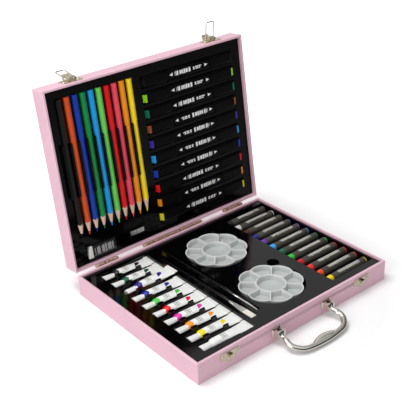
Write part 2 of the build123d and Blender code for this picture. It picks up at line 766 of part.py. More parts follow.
def catch_plate(x):
    """Keystone plate with two ears, a window and a hook for the wire loop."""
    with BuildPart() as plate:
        with BuildSketch(lengthways(x, FRONT, CATCH_RISE)):
            for side in (-1, 1):
                with Locations((side * CATCH_EAR_SPACING / 2, -CATCH_EAR_RISE)):
                    Circle(CATCH_EAR)
            with Locations((0, CATCH_FOOT_DROP)):
                Circle(CATCH_FOOT)
            make_hull()
            with Locations((0, -HOOK_RISE + LATCH_SHEET + HOOK_DROP / 2)):
                Rectangle(HOOK_WIDTH, HOOK_DROP, mode=Mode.SUBTRACT)
        extrude(amount=-LATCH_SHEET)
        with BuildSketch(crossways(x - HOOK_WIDTH / 2, FRONT, CATCH_RISE + HOOK_RISE)):
            draw_hook()
        extrude(amount=HOOK_WIDTH)
    rivet = lengthways(x, FRONT - LATCH_SHEET, CATCH_RIVET_Z)
    holes = [rivet * Pos(side * CATCH_EAR_SPACING / 2, 0) for side in (-1, 1)]
    return drilled(plate, holes, RIVET_SHANK, LATCH_SHEET)


def draw_hook():
    """Side view of the hook: out from the plate and down outside the wire."""
    reach = LATCH_SHEET + HOOK_GAP + LATCH_SHEET
    Polygon(
        (0, 0),
        (-reach, 0),
        (-reach, -HOOK_DROP),
        (-reach + LATCH_SHEET, -HOOK_DROP),
        (-reach + LATCH_SHEET, -LATCH_SHEET),
        (0, -LATCH_SHEET),
    )


def handle_post(x):
    """Flared post with a slot for the handle's eye and the pin across it."""
    foot = lengthways(x, FRONT, POST_RISE)
    with BuildPart() as post:
        with BuildSketch(foot):
            RectangleRounded(*POST_FOOT, POST_FLANGE / 2)
        extrude(amount=-POST_FLANGE)
        with BuildSketch(foot.offset(-POST_FLANGE)):
            Rectangle(POST_FOOT[0] - 2 * POST_FLANGE, POST_FOOT[1] - 2 * POST_FLANGE)
        with BuildSketch(foot.offset(-POST_OUT)):
            Rectangle(*POST_HEAD)
        loft()
        slot_depth = POST_OUT - HANDLE_PIVOT_OUT + HANDLE_EYE + PIVOT_ROOM
        with BuildSketch(foot.offset(-POST_OUT)):
            Rectangle(POST_SLOT, POST_FOOT[1])
        extrude(amount=slot_depth, mode=Mode.SUBTRACT)
        with BuildSketch(crossways(x - POST_HEAD[0] / 2, HANDLE_PIVOT_Y, POST_RISE)):
            Circle(HANDLE_PIN)
        extrude(amount=POST_HEAD[0])
    return post


def handle_bail():
    """D-shaped bail, thicker at the grip, with a bored eye at each end."""
    drop = math.radians(HANDLE_DROP)
    flat = Plane(
        origin=(HANDLE_CENTRE, HANDLE_PIVOT_Y, POST_RISE),
        x_dir=(1, 0, 0),
        z_dir=(0, math.sin(drop), -math.cos(drop)),
    )
    half = POST_SPACING / 2
    arch = [HANDLE_BAR_START, HANDLE_SHOULDER, HANDLE_CORNER]
    corners = [(-x, y) for x, y in arch] + [(0, HANDLE_REACH)] + arch[::-1]
    bends = [*HANDLE_BENDS, *HANDLE_BENDS[-2::-1]]
    rise = HANDLE_SHOULDER[1] - HANDLE_BAR_START[1]
    spread = HANDLE_SHOULDER[0] - HANDLE_BAR_START[0]
    with BuildPart() as bail:
        for side in (-1, 1):
            root = flat.from_local_coords((side * half, HANDLE_EYE / 2))
            neck = Plane(origin=root, x_dir=flat.z_dir, z_dir=flat.y_dir)
            neck_end = neck.offset(HANDLE_NECK_LENGTH - HANDLE_EYE / 2)
            with BuildSketch(neck):
                RectangleRounded(HANDLE_NECK[1], HANDLE_NECK[0], HANDLE_NECK_ROUND)
            extrude(amount=HANDLE_NECK_LENGTH - HANDLE_EYE / 2)
            begin = flat.from_local_coords((side * HANDLE_BAR_START[0], HANDLE_BAR_START[1]))
            along = flat.y_dir * rise + flat.x_dir * side * spread
            bar = Plane(origin=begin, x_dir=flat.z_dir, z_dir=along)
            with BuildSketch(neck_end):
                RectangleRounded(HANDLE_NECK[1], HANDLE_NECK[0], HANDLE_NECK_ROUND)
            with BuildSketch(bar):
                RectangleRounded(HANDLE_BAR[1], HANDLE_BAR[0], HANDLE_ROUND)
            loft()
        start = flat.from_local_coords(corners[0])
        towards = flat.from_local_coords(corners[1]) - start
        with BuildLine(flat):
            FilletPolyline(*corners, radius=bends)
        with BuildSketch(Plane(origin=start, x_dir=flat.z_dir, z_dir=towards)):
            RectangleRounded(HANDLE_BAR[1], HANDLE_BAR[0], HANDLE_ROUND)
        sweep()
        end_setback, grip_setback = GRIP_SETBACK
        for place, setback, section in (
            (-GRIP_LENGTH / 2, end_setback, GRIP_END),
            (0, grip_setback, GRIP_SIZE),
            (GRIP_LENGTH / 2, end_setback, GRIP_END),
        ):
            middle = flat.from_local_coords((place, HANDLE_REACH - setback))
            with BuildSketch(Plane(origin=middle, x_dir=flat.y_dir, z_dir=flat.x_dir)):
                Ellipse(section[0] / 2, section[1] / 2)
        loft()
        for side in (-1, 1):
            near = HANDLE_CENTRE + side * half - HANDLE_EYE_WIDTH / 2
            with BuildSketch(crossways(near, HANDLE_PIVOT_Y, POST_RISE)):
                Circle(HANDLE_EYE)
            extrude(amount=HANDLE_EYE_WIDTH)
            with BuildSketch(crossways(near, HANDLE_PIVOT_Y, POST_RISE)):
                Circle(HANDLE_PIN + PIN_FIT)
            extrude(amount=HANDLE_EYE_WIDTH, mode=Mode.SUBTRACT)
    return bail


def pencil(place):
    """A sharpened pencil along the plane's normal: its wood and its coloured core."""
    with BuildPart() as sharpened:
        with BuildSketch(place):
            Circle(PENCIL_CORNER)
        extrude(amount=PENCIL_LENGTH - PENCIL_TIP)
        with BuildSketch(place.offset(PENCIL_LENGTH - PENCIL_TIP)):
            Circle(PENCIL_CORNER)
        with BuildSketch(place.offset(PENCIL_LENGTH)):
            Circle(PENCIL_POINT)
        loft()
    with BuildPart() as core:
        with BuildSketch(place):
            Circle(PENCIL_CORE)
        extrude(amount=PENCIL_LENGTH)
        add(sharpened.part, mode=Mode.INTERSECT)
    with BuildPart() as wood:
        with BuildSketch(place):
            RegularPolygon(PENCIL_CORNER, 6, rotation=30)
            Circle(PENCIL_CORE, mode=Mode.SUBTRACT)
        extrude(amount=PENCIL_LENGTH)
        add(sharpened.part, mode=Mode.INTERSECT)
    return wood, core


def marker(place):
    """A double-ended marker along the plane's normal: barrel, two caps and two end plugs."""
    pieces = []
    grip_end = MARKER_LENGTH - MARKER_CAP
    slim = (MARKER_WIDTH - 2 * MARKER_CAP_STEP, MARKER_THICK - 2 * MARKER_CAP_STEP)
    with BuildPart() as barrel:
        with BuildSketch(place.offset(MARKER_CAP)):
            RectangleRounded(*slim, MARKER_CORNER - MARKER_CAP_STEP)
        extrude(amount=grip_end - MARKER_CAP)
    pieces.append(barrel.part)
    for start, end in ((MARKER_PLUG, MARKER_CAP), (grip_end, MARKER_LENGTH - MARKER_PLUG)):
        with BuildPart() as cap:
            with BuildSketch(place.offset(start)):
                RectangleRounded(MARKER_WIDTH, MARKER_THICK, MARKER_CORNER)
            extrude(amount=end - start)
        pieces.append(cap.part)
    for start in (0, MARKER_LENGTH - MARKER_PLUG):
        with BuildPart() as plug:
            with BuildSketch(place.offset(start)):
                RectangleRounded(*MARKER_PLUG_FACE, MARKER_CORNER / 2)
            extrude(amount=MARKER_PLUG)
        pieces.append(plug.part)
    return pieces


def paint_tube(place):
    """A paint tube along the plane's normal from its cap: the tube and the cap."""
    film_start = TUBE_CAP + TUBE_SHOULDER + TUBE_STRAIGHT
    film_end = TUBE_LENGTH - TUBE_CRIMP
    girth = TUBE_TAIL / 2 - TUBE_RADIUS
    neck, thread = TUBE_NECK
    with BuildPart() as body:
        with BuildSketch(place.offset(TUBE_CAP - thread)):
            Circle(neck)
        extrude(amount=thread)
        with BuildSketch(place.offset(TUBE_CAP)):
            Circle(TUBE_CAP_ROOT)
        with BuildSketch(place.offset(TUBE_CAP + TUBE_SHOULDER)):
            Circle(TUBE_RADIUS)
        loft()
        with BuildSketch(place.offset(TUBE_CAP + TUBE_SHOULDER)):
            Circle(TUBE_RADIUS)
        extrude(amount=TUBE_STRAIGHT)
        for share in TUBE_SECTIONS:
            thick = TUBE_RADIUS + (TUBE_FILM / 2 - TUBE_RADIUS) * share**TUBE_FLATTENING
            with BuildSketch(place.offset(film_start + (film_end - film_start) * share)):
                Ellipse(TUBE_RADIUS + girth * share, thick)
        loft()
        with BuildSketch(place.offset(film_end)):
            Rectangle(TUBE_TAIL, TUBE_FOLD)
        extrude(amount=TUBE_CRIMP)
    with BuildPart() as cap:
        with BuildSketch(place):
            Circle(TUBE_CAP_TIP)
        with BuildSketch(place.offset(TUBE_CAP)):
            Circle(TUBE_CAP_ROOT)
        loft()
        with BuildSketch(place.offset(TUBE_CAP - thread)):
            Circle(neck)
        extrude(amount=thread, mode=Mode.SUBTRACT)
    return body, cap


def draw_petals(radius):
    """A scalloped round outline of a given outer radius."""
    share = radius / PALETTE_RADIUS
    petal = PALETTE_PETAL * share
    Circle((PALETTE_RADIUS - PALETTE_PETAL) * share)
    with PolarLocations(radius - petal, PALETTE_PETALS, start_angle=180 / PALETTE_PETALS):
        Circle(petal)


def palette(x, y):
    """A petal palette: eight wells round a raised ring with a centre well."""
    top = Plane(origin=(x, y, PALETTE_Z + PALETTE_HEIGHT))
    flare = PALETTE_HEIGHT * math.tan(math.radians(PALETTE_TAPER))
    well = PALETTE_HEIGHT - PALETTE_FLOOR
    with BuildPart() as dish:
        with BuildSketch(top.offset(-PALETTE_HEIGHT)):
            draw_petals(PALETTE_RADIUS - flare)
        with BuildSketch(top):
            draw_petals(PALETTE_RADIUS)
        loft()
        with BuildSketch(top):
            draw_petals(PALETTE_RADIUS - PALETTE_WALL)
            Circle(PALETTE_WELL + PALETTE_WALL, mode=Mode.SUBTRACT)
            with PolarLocations(PALETTE_RADIUS / 2, PALETTE_PETALS):
                Rectangle(PALETTE_RADIUS, PALETTE_WALL, mode=Mode.SUBTRACT)
            Circle(PALETTE_WELL)
        extrude(amount=-well, taper=PALETTE_TAPER, mode=Mode.SUBTRACT)
    return dish


def pastel(place):
    """An oil pastel along the plane's normal: the stick and its paper."""
    with BuildPart() as stick:
        with BuildSketch(place):
            Circle(PASTEL_RADIUS - PASTEL_PAPER)
        extrude(amount=PASTEL_LENGTH)
        chamfer(stick.edges().sort_by(Axis.X)[0], length=PASTEL_CHAMFER)
    with BuildPart() as paper:
        with BuildSketch(place.offset(PASTEL_BARE)):
            Circle(PASTEL_RADIUS)
            Circle(PASTEL_RADIUS - PASTEL_PAPER, mode=Mode.SUBTRACT)
        extrude(amount=PASTEL_LENGTH - PASTEL_BARE - PASTEL_END)
    return stick, paper


def brush_handle(start, head):
    """A turned handle from inside the ferrule to its thin butt."""
    length = BRUSH_LENGTH - head
    side = Plane(origin=start.origin, x_dir=start.z_dir, z_dir=start.x_dir)
    with BuildPart() as handle:
        with BuildSketch(side):
            with BuildLine():
                outline = Spline(*BRUSH_STATIONS, (length, BRUSH_BUTT))
                Polyline(
                    outline @ 1,
                    (length, 0),
                    (-BRUSH_TUCK, 0),
                    (-BRUSH_TUCK, BRUSH_NECK - FERRULE_WALL),
                    (0, BRUSH_NECK - FERRULE_WALL),
                    outline @ 0,
                )
            make_face()
        revolve(axis=Axis(start.origin, start.z_dir))
    return handle


def draw_flat_end(wall):
    """The flat brush's bristle outline, or the ferrule's outline a wall's thickness outside it."""
    RectangleRounded(
        FLAT_BRISTLE_WIDTH + 2 * wall,
        FLAT_BRISTLE_THICK + 2 * wall,
        FLAT_FERRULE_ROUND - FERRULE_WALL + wall,
    )


def flat_ferrule(start):
    """A nickel ferrule, round at the handle and flat at the bristles."""
    with BuildPart() as ferrule:
        with BuildSketch(start):
            draw_flat_end(FERRULE_WALL)
        with BuildSketch(start.offset(FLAT_FERRULE)):
            RectangleRounded(2 * BRUSH_NECK, 2 * BRUSH_NECK, BRUSH_NECK - FERRULE_WALL / 2)
        loft()
        with BuildSketch(start):
            draw_flat_end(0)
        extrude(amount=BRISTLE_BACKING, mode=Mode.SUBTRACT)
        with BuildSketch(start.offset(FLAT_FERRULE)):
            Circle(BRUSH_NECK - FERRULE_WALL)
        extrude(amount=-BRUSH_TUCK, mode=Mode.SUBTRACT)
    return ferrule


def round_ferrule(start):
    """A round tapered ferrule."""
    with BuildPart() as ferrule:
        with BuildSketch(start):
            Circle(ROUND_BRISTLE + FERRULE_WALL)
        with BuildSketch(start.offset(ROUND_FERRULE)):
            Circle(BRUSH_NECK)
        loft()
        with BuildSketch(start):
            Circle(ROUND_BRISTLE)
        extrude(amount=BRISTLE_BACKING, mode=Mode.SUBTRACT)
        with BuildSketch(start.offset(ROUND_FERRULE)):
            Circle(BRUSH_NECK - FERRULE_WALL)
        extrude(amount=-BRUSH_TUCK, mode=Mode.SUBTRACT)
    return ferrule


def flat_bristles(root):
    """Straight strands in rows, fused to the slice that the ferrule holds."""
    columns, rows = FLAT_STRANDS
    side_margin, face_margin = FLAT_STRAND_MARGIN
    across = (FLAT_BRISTLE_WIDTH - FLAT_STRAND - 2 * side_margin) / (columns - 1)
    deep = (FLAT_BRISTLE_THICK - FLAT_STRAND - 2 * face_margin) / (rows - 1)
    with BuildPart() as bristles:
        with BuildSketch(root):
            draw_flat_end(0)
        extrude(amount=BRISTLE_BACKING)
        with BuildSketch(root):
            with GridLocations(across, deep, columns, rows):
                Rectangle(FLAT_STRAND, FLAT_STRAND)
        extrude(amount=-FLAT_BRISTLES)
    return bristles


def round_strands(root):
    """Leaning strands in rings that draw together toward a point."""
    strands = []
    for ring in range(ROUND_RINGS + 1):
        radius = (ROUND_BRISTLE - 2 * ROUND_STRAND) * ring / ROUND_RINGS
        length = ROUND_BRISTLES - ROUND_SHORTER * (ring / ROUND_RINGS) ** 2
        spokes = max(1, ROUND_FIRST_RING * ring)
        for spoke in range(spokes):
            angle = 2 * math.pi * spoke / spokes
            x, y = radius * math.cos(angle), radius * math.sin(angle)
            foot = root.from_local_coords((x, y, 0))
            tip = root.from_local_coords((x * ROUND_DRAW, y * ROUND_DRAW, -length))
            square = Plane(origin=foot, x_dir=root.x_dir, z_dir=root.z_dir)
            strands.append(Solid.extrude(Face.make_rect(ROUND_STRAND, ROUND_STRAND, square), tip - foot))
    return strands


def round_bristles(root):
    """The round brush's strands, fused to the slice that the ferrule holds."""
    with BuildPart() as bristles:
        with BuildSketch(root):
            Circle(ROUND_BRISTLE)
        extrude(amount=BRISTLE_BACKING)
        add(round_strands(root))
    return bristles


def eraser(place):
    """A slant-ended eraser and its card sleeve, along the plane's normal."""
    length, width, thick = ERASER
    card = ERASER_CARD
    core_width = width - 2 * card
    core_thick = thick - 2 * card
    side = Plane(origin=place.origin, x_dir=place.z_dir, z_dir=-place.y_dir)
    with BuildPart() as block:
        with BuildSketch(side):
            with BuildLine():
                Polyline(
                    (ERASER_SLANT, core_width / 2),
                    (0, -core_width / 2),
                    (length - card, -core_width / 2),
                    (length - card, core_width / 2),
                    close=True,
                )
            make_face()
        extrude(amount=core_thick / 2, both=True)
    with BuildPart() as sleeve:
        with BuildSketch(place.offset(length - ERASER_SLEEVE)):
            Rectangle(width, thick)
            Rectangle(core_width, core_thick, mode=Mode.SUBTRACT)
        extrude(amount=ERASER_SLEEVE)
    return block, sleeve


def sharpener(place):
    """A wedge sharpener: waisted body with a tapered bore, its blade and the blade's screw."""
    length, width, thick = SHARPENER
    blade_length, blade_width, blade_thick = SHARPENER_BLADE
    head, shank, head_rise = SHARPENER_SCREW
    bore_start, bore_end = SHARPENER_BORE
    slot_width, slot_floor = SHARPENER_SLOT
    waist = (length / 2) ** 2 / (2 * SHARPENER_WAIST) + SHARPENER_WAIST / 2
    with BuildPart() as body:
        with BuildSketch(place):
            Rectangle(length, width)
            for side in (-1, 1):
                with Locations((0, side * (width / 2 + waist - SHARPENER_WAIST))):
                    Circle(waist, mode=Mode.SUBTRACT)
        extrude(amount=thick - blade_thick)
        end = Plane(
            origin=place.from_local_coords((length / 2, 0, thick / 2)),
            x_dir=place.y_dir,
            z_dir=-place.x_dir,
        )
        with BuildSketch(end):
            Circle(bore_start)
        with BuildSketch(end.offset(length)):
            Circle(bore_end)
        loft(mode=Mode.SUBTRACT)
        with BuildSketch(place.offset(thick - blade_thick)):
            Circle(shank)
        extrude(amount=-SHARPENER_THREAD, mode=Mode.SUBTRACT)
    with BuildPart() as blade:
        with BuildSketch(place.offset(thick - blade_thick)):
            Rectangle(blade_length, blade_width)
            Circle(shank, mode=Mode.SUBTRACT)
        extrude(amount=blade_thick)
    with BuildPart() as screw:
        with BuildSketch(place.offset(thick)):
            Circle(head)
            Rectangle(2 * head, slot_width, mode=Mode.SUBTRACT)
        extrude(amount=head_rise)
        with BuildSketch(place.offset(thick)):
            Circle(shank)
        extrude(amount=-blade_thick - SHARPENER_THREAD)
        with BuildSketch(place.offset(thick)):
            Circle(head)
        extrude(amount=slot_floor)
    return body, blade, screw


os.makedirs("parts", exist_ok=True)

# Base walls and panel
base_walls = frame_walls(0, BASE_HEIGHT, unturned)
catch_holes = front_planes(CATCH_EAR_SPACING, CATCH_RIVET_Z, unturned)
base_walls[0] = drilled(base_walls[0], catch_holes, RIVET_SHANK, WALL)
base_walls[2] = drilled(base_walls[2], back_screw_planes(BASE_SCREW_Z, unturned), SCREW_SHANK, WALL)
write("base_frame", *[wall.part for wall in base_walls])

with BuildPart() as base_panel:
    with BuildSketch():
        Rectangle(INNER_LENGTH, INNER_DEPTH)
    extrude(amount=PANEL)
base_panel.part.label = "base_bottom_panel"
export_step(base_panel.part, "parts/base_bottom_panel.step")

# Lid walls and panel
lid_walls = frame_walls(RIM_LEVEL, LID_HEIGHT, opened)
latch_holes = front_planes(RIVET_SPACING, LATCH_RIVET_Z, opened)
lid_walls[0] = drilled(lid_walls[0], latch_holes, RIVET_SHANK, WALL)
lid_walls[2] = drilled(lid_walls[2], back_screw_planes(LID_SCREW_Z, opened), SCREW_SHANK, WALL)
write("lid_frame", *[wall.part for wall in lid_walls])

with BuildPart() as lid_panel:
    with BuildSketch(opened(Plane.XY.offset(SHUT_HEIGHT))):
        Rectangle(INNER_LENGTH, INNER_DEPTH)
    extrude(amount=-PANEL)
lid_panel.part.label = "lid_top_panel"
export_step(lid_panel.part, "parts/lid_top_panel.step")

# Trays
base_tray = tray(
    unturned,
    BASE_TRAY_LEVEL,
    -1,
    BASE_TRAY_LEVEL - PANEL,
    [
        (draw_tubes, BASE_TRAY_LEVEL - TUBE_Z + TUBE_RADIUS + FLOOR_FIT),
        (draw_violet_tail, VIOLET_ROOM),
        (draw_brushes, BASE_TRAY_LEVEL - BRUSH_Z + BRUSH_HANDLE + FLOOR_FIT),
        (draw_palettes, BASE_TRAY_LEVEL - PALETTE_Z + FLOOR_FIT),
        (draw_pastels, BASE_TRAY_LEVEL - PASTEL_Z + PASTEL_RADIUS + FLOOR_FIT),
    ],
    [(draw_tube_lobes, TUBE_LOBE)],
)
base_tray.part.label = "base_tray"
export_step(base_tray.part, "parts/base_tray.step")

lid_tray = tray(
    opened,
    LID_TRAY_LEVEL,
    1,
    SHUT_HEIGHT - PANEL - LID_TRAY_LEVEL,
    [
        (draw_pencils, PENCIL_CORNER - PENCIL_RIDE + FLOOR_FIT),
        (draw_markers, MARKER_THICK - MARKER_PROUD + FLOOR_FIT),
        (draw_eraser, ERASER[2] - ERASER_PROUD + FLOOR_FIT),
        (draw_sharpener, SHARPENER[2] - SHARPENER_PROUD + FLOOR_FIT),
    ],
    [(draw_pencil_ridges, PENCIL_CORNER + PENCIL_RIDE)],
)
lid_tray.part.label = "lid_tray"
export_step(lid_tray.part, "parts/lid_tray.step")

# Hinges
base_leaves = [hinge_leaf(*hinge, -1, unturned) for hinge in HINGES]
write("hinge_base_leaves", *[leaf.part for leaf in base_leaves])
lid_leaves = [hinge_leaf(*hinge, 1, opened) for hinge in HINGES]
write("hinge_lid_leaves", *[leaf.part for leaf in lid_leaves])
pins = []
for centre, length, _, _ in HINGES:
    with BuildPart() as pin:
        with BuildSketch(crossways(centre - length / 2, HINGE_Y, HINGE_Z)):
            Circle(HINGE_PIN)
        extrude(amount=length)
    pins.append(pin.part)
write("hinge_pins", *pins)
for node, rise, stand in (
    ("hinge_base_screws", BASE_SCREW_Z, unturned),
    ("hinge_lid_screws", LID_SCREW_Z, opened),
):
    studs = [
        domed_stud(plane.offset(-LEAF), SCREW_HEAD, SCREW_DOME, SCREW_SHANK, LEAF + WALL)
        for plane in back_screw_planes(rise, stand)
    ]
    write(node, *[stud.part for stud in studs])

# Latches and catches
write("latch_plates", *[latch_plate(x).part for _, x, _ in LATCHES])
write("catch_plates", *[catch_plate(x).part for _, x, _ in LATCHES])
for node, planes in (("latch_rivets", latch_holes), ("catch_rivets", catch_holes)):
    studs = [
        domed_stud(
            plane.offset(-LATCH_SHEET), RIVET_RADIUS, RIVET_HEAD, RIVET_SHANK, LATCH_SHEET + WALL
        )
        for plane in planes
    ]
    write(node, *[stud.part for stud in studs])
for side, x, angle in LATCHES:
    lever = latch_lever(x)
    lever.part.label = f"{side}_latch_lever"
    export_step(lever.part, f"parts/{side}_latch_lever.step")
    loop = latch_loop(x, angle)
    loop.part.label = f"{side}_latch_loop"
    export_step(loop.part, f"parts/{side}_latch_loop.step")

# Handle
posts = [handle_post(HANDLE_CENTRE + side * POST_SPACING / 2) for side in (-1, 1)]
write("handle_posts", *[post.part for post in posts])
handle = handle_bail()
handle.part.label = "handle"
export_step(handle.part, "parts/handle.step")

# Lid contents
for colour, x in zip(PENCILS, spaced(PENCIL_FIRST, PENCIL_PITCH, len(PENCILS))):
    wood, core = pencil(opened(lengthways(x, PENCIL_END, PENCIL_Z)))
    write(f"pencil_{colour}", wood.part, core.part)
for colour, y in zip(MARKERS, spaced(MARKER_FIRST, MARKER_PITCH, len(MARKERS))):
    place = opened(crossways(MARKER_CENTRE - MARKER_LENGTH / 2, y, MARKER_Z))
    write(f"marker_{colour}", *marker(place))
eraser_left = crossways(
    ERASER_X - ERASER[0] / 2,
    ERASER_Y,
    LID_TRAY_LEVEL - ERASER_PROUD + ERASER[2] / 2,
)
block, sleeve = eraser(opened(eraser_left))
write("eraser", block.part, sleeve.part)
sharpener_base = Plane(
    origin=(SHARPENER_X, SHARPENER_Y, LID_TRAY_LEVEL - SHARPENER_PROUD + SHARPENER[2]),
    x_dir=(1, 0, 0),
    z_dir=(0, 0, -1),
)
write("sharpener", *[piece.part for piece in sharpener(opened(sharpener_base))])

# Base contents
for colour, y in zip(TUBES, tube_places()):
    place = crossways(TUBE_TIP, y, TUBE_Z)
    if colour == "violet":
        start = Vector(TUBE_TIP + VIOLET_SHIFT[0], y + VIOLET_SHIFT[1], TUBE_Z - VIOLET_DROP)
        lean = Vector(TUBE_LENGTH, VIOLET_SWING, VIOLET_DROP + VIOLET_RISE)
        place = Plane(origin=start, x_dir=(-VIOLET_SWING, TUBE_LENGTH, 0), z_dir=lean)
    body, cap = paint_tube(place)
    write(f"tube_{colour}", body.part, cap.part)

flat_root = lengthways(FLAT_BRUSH_X, FLAT_BRUSH_END + FLAT_BRISTLES, BRUSH_Z)
flat_handle = brush_handle(flat_root.offset(FLAT_FERRULE), FLAT_BRISTLES + FLAT_FERRULE)
write("flat_brush", flat_handle.part, flat_ferrule(flat_root).part)
flat_tuft = flat_bristles(flat_root)
flat_tuft.part.label = "flat_brush_bristles"
export_step(flat_tuft.part, "parts/flat_brush_bristles.step")

round_root = lengthways(ROUND_BRUSH_X, ROUND_BRUSH_END + ROUND_BRISTLES, BRUSH_Z)
round_handle = brush_handle(round_root.offset(ROUND_FERRULE), ROUND_BRISTLES + ROUND_FERRULE)
write("round_brush", round_handle.part, round_ferrule(round_root).part)
round_tuft = round_bristles(round_root)
round_tuft.part.label = "round_brush_bristles"
export_step(round_tuft.part, "parts/round_brush_bristles.step")

for name, x, y in PALETTE_CENTRES:
    dish = palette(x, y)
    dish.part.label = f"{name}_palette"
    export_step(dish.part, f"parts/{name}_palette.step")

pastel_pieces = []
for y in spaced(PASTEL_FIRST, -PASTEL_PITCH, PASTEL_COUNT):
    stick, paper = pastel(crossways(PASTEL_CENTRE - PASTEL_LENGTH / 2, y, PASTEL_Z))
    pastel_pieces += [stick.part, paper.part]
write("oil_pastels", *pastel_pieces)

strands = FLAT_STRANDS[0] * FLAT_STRANDS[1] + len(round_strands(round_root))
print("bristle strands", strands)
print("handle drop", round(HANDLE_DROP, 2), "loop slant", round(LOOP_SLANT, 2))
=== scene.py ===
"""Art set case: looks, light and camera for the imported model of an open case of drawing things."""

import json
import math

import bpy
from bpy.props import FloatProperty, FloatVectorProperty, IntProperty, PointerProperty
from bpy.types import Operator, Panel, PropertyGroup
from mathutils import Matrix, Vector


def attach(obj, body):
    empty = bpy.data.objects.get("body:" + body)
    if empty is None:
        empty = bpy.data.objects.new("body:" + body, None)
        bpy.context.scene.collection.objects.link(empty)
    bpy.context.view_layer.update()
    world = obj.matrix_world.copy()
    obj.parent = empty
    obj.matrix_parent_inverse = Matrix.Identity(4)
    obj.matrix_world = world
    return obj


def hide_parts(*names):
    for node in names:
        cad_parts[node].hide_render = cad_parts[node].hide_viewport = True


bl_info = {
    "name": "Art set case",
    "version": (1, 0, 0),
    "blender": (4, 5, 0),
    "location": "3D View > Sidebar > Art set",
    "description": "Finishes, bristles, light and camera for an open art set case",
    "category": "Object",
}

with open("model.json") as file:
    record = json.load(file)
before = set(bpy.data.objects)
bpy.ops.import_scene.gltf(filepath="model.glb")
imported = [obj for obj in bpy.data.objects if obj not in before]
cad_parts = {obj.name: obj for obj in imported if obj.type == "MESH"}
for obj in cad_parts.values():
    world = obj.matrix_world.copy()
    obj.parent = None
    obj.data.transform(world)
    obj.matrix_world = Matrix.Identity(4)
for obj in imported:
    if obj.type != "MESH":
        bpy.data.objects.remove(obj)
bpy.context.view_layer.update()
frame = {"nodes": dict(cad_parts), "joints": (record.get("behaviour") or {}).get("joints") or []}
MM = 0.001

# The case in metres, and its lid's middle in millimetres with the lid shut
CASE_HALF_LENGTH = 0.152
CASE_HALF_DEPTH = 0.1155
BASE_HALF_HEIGHT = 0.0135
LID_HALF_HEIGHT = 0.012
LID_MIDDLE_Z = 39.4

# Things in the lid, in millimetres with the lid shut
PENCIL_FIRST_X = -132.2
PENCIL_PITCH = 11.1
PENCIL_END_Y = -100.6
PENCIL_Z = 32.0
MARKER_X = 59.7
MARKER_FIRST_Y = -90
MARKER_PITCH = 20.1
MARKER_Z = 34.5
SHARPENER_PLACE = (-53, 96.5, 31.5)
ERASER_PLACE = (-128.5, 99, 35.4)

# The tubes' row, and how far the violet tube rises and strays over its length, in millimetres
TUBE_FIRST_Y = 93.9
TUBE_PITCH = 20.75
TUBE_LENGTH = 72
VIOLET_RISE = 4.6
VIOLET_ASKEW = 2.0

# Other places in the base, in metres
TUBE_X = -0.1292
TUBE_Z = 0.0203
VIOLET_SHIFT = (0.0049, -0.0008, -0.0009)
PASTEL_COUNT = 12
PASTEL_PITCH = 0.01675
PASTEL_ROW_START = 0.102375
PASTEL_Z = 0.0196
PALETTE_Z = 0.0177
FLAT_FERRULE_END = -0.046
ROUND_FERRULE_END = -0.039

# Bristles, in metres. Each ring of the round brush has some more hairs than the ring inside it
BRISTLE_LEVEL = 0.0219
FLAT_ROOT = (-0.046, -0.072, BRISTLE_LEVEL)
FLAT_COLUMNS = 44
FLAT_WIDTH = 0.0086
FLAT_THICK = 0.0018
FLAT_LONG = 0.0166
FLAT_CORE_LONG = 0.0155
FLAT_HAIR = 0.00011
SIDE_WOBBLE = 0.00003
LENGTH_WOBBLE = 0.0003
ROUND_ROOT = (-0.033, -0.067, BRISTLE_LEVEL)
ROUND_RINGS = 8
HAIRS_ADDED_PER_RING = 6
ROUND_RADIUS = 0.0014
ROUND_LONG = 0.0149
ROUND_DOME = 0.004
ROUND_CORE = (0.0026, 0.0026, 0.003)
ROUND_HAIR = 0.0001
ROUND_DRAW = 0.55
FULL_LEAN_LENGTH = 0.015
CORE_IN_FERRULE = 0.0009

# Marks in place of printing, in metres. A marker's bars have a start, an end, a place across and a half
# height, and a tube's lines have a start and a half height
MARKER_BARS = ((-0.023, 0.003, 0.0, 0.0026), (0.007, 0.021, -0.0009, 0.0009), (0.007, 0.019, 0.0012, 0.0007))
TUBE_LINES = ((0.0295, 0.0007), (0.0325, 0.0012), (0.0355, 0.0006))

# Noise above the threshold shows the bar, and its height there is the noise times this
BREAK_THRESHOLD = 0.46
BREAK_HEIGHT = 1.9

# Rounding of the pieces' edges, in metres
ROUNDING = {
    "tray": 0.0006,
    "hinge": 0.0001,
    "nickel": 0.00012,
    "post": 0.0005,
    "marker": 0.0004,
    "eraser": 0.0006,
    "sharpener": 0.0003,
    "tube": 0.0003,
    "pastel": 0.0002,
    "palette": 0.0005,
}
WELD_DISTANCE = 0.000002
ROUNDED_ANGLE = math.radians(40)

# The part of a noise's range that most of it lies in
SHADE_LOW = 0.3
SHADE_HIGH = 0.7

# Socket places on a Mix node
MIX_VALUES = (2, 3)
MIX_COLOURS = (6, 7)
MIX_COLOUR_OUT = 2

# Stage, in metres and degrees
CAMERA_PLACE = (-0.59278, -0.67716, 0.60151)
CAMERA_TURN = (61.4862, 1.5396, -40.2446)
CAMERA_SENSOR = 36
CAMERA_NEAR = 0.01
FLOOR_SIZE = 8
FLOOR_LEVEL = -0.0002
KEY_LIGHT = ((-0.35, 0.25, 1.45), (0, 0, 0.05), 0.8)
SIDE_LIGHT = ((-1.5, -0.25, 0.7), (0, 0, 0.1), 1.0)
EVEN_LIGHT = 0.46

# The lid's place: it is drawn shut and turned open about the hinge line
LID_HINGE = next(joint for joint in frame["joints"] if joint["name"] == "lid_hinge")
OPEN_TURN = math.radians(LID_HINGE["range_deg"][0])
HINGE_POINT = Vector(LID_HINGE["pos_m"])


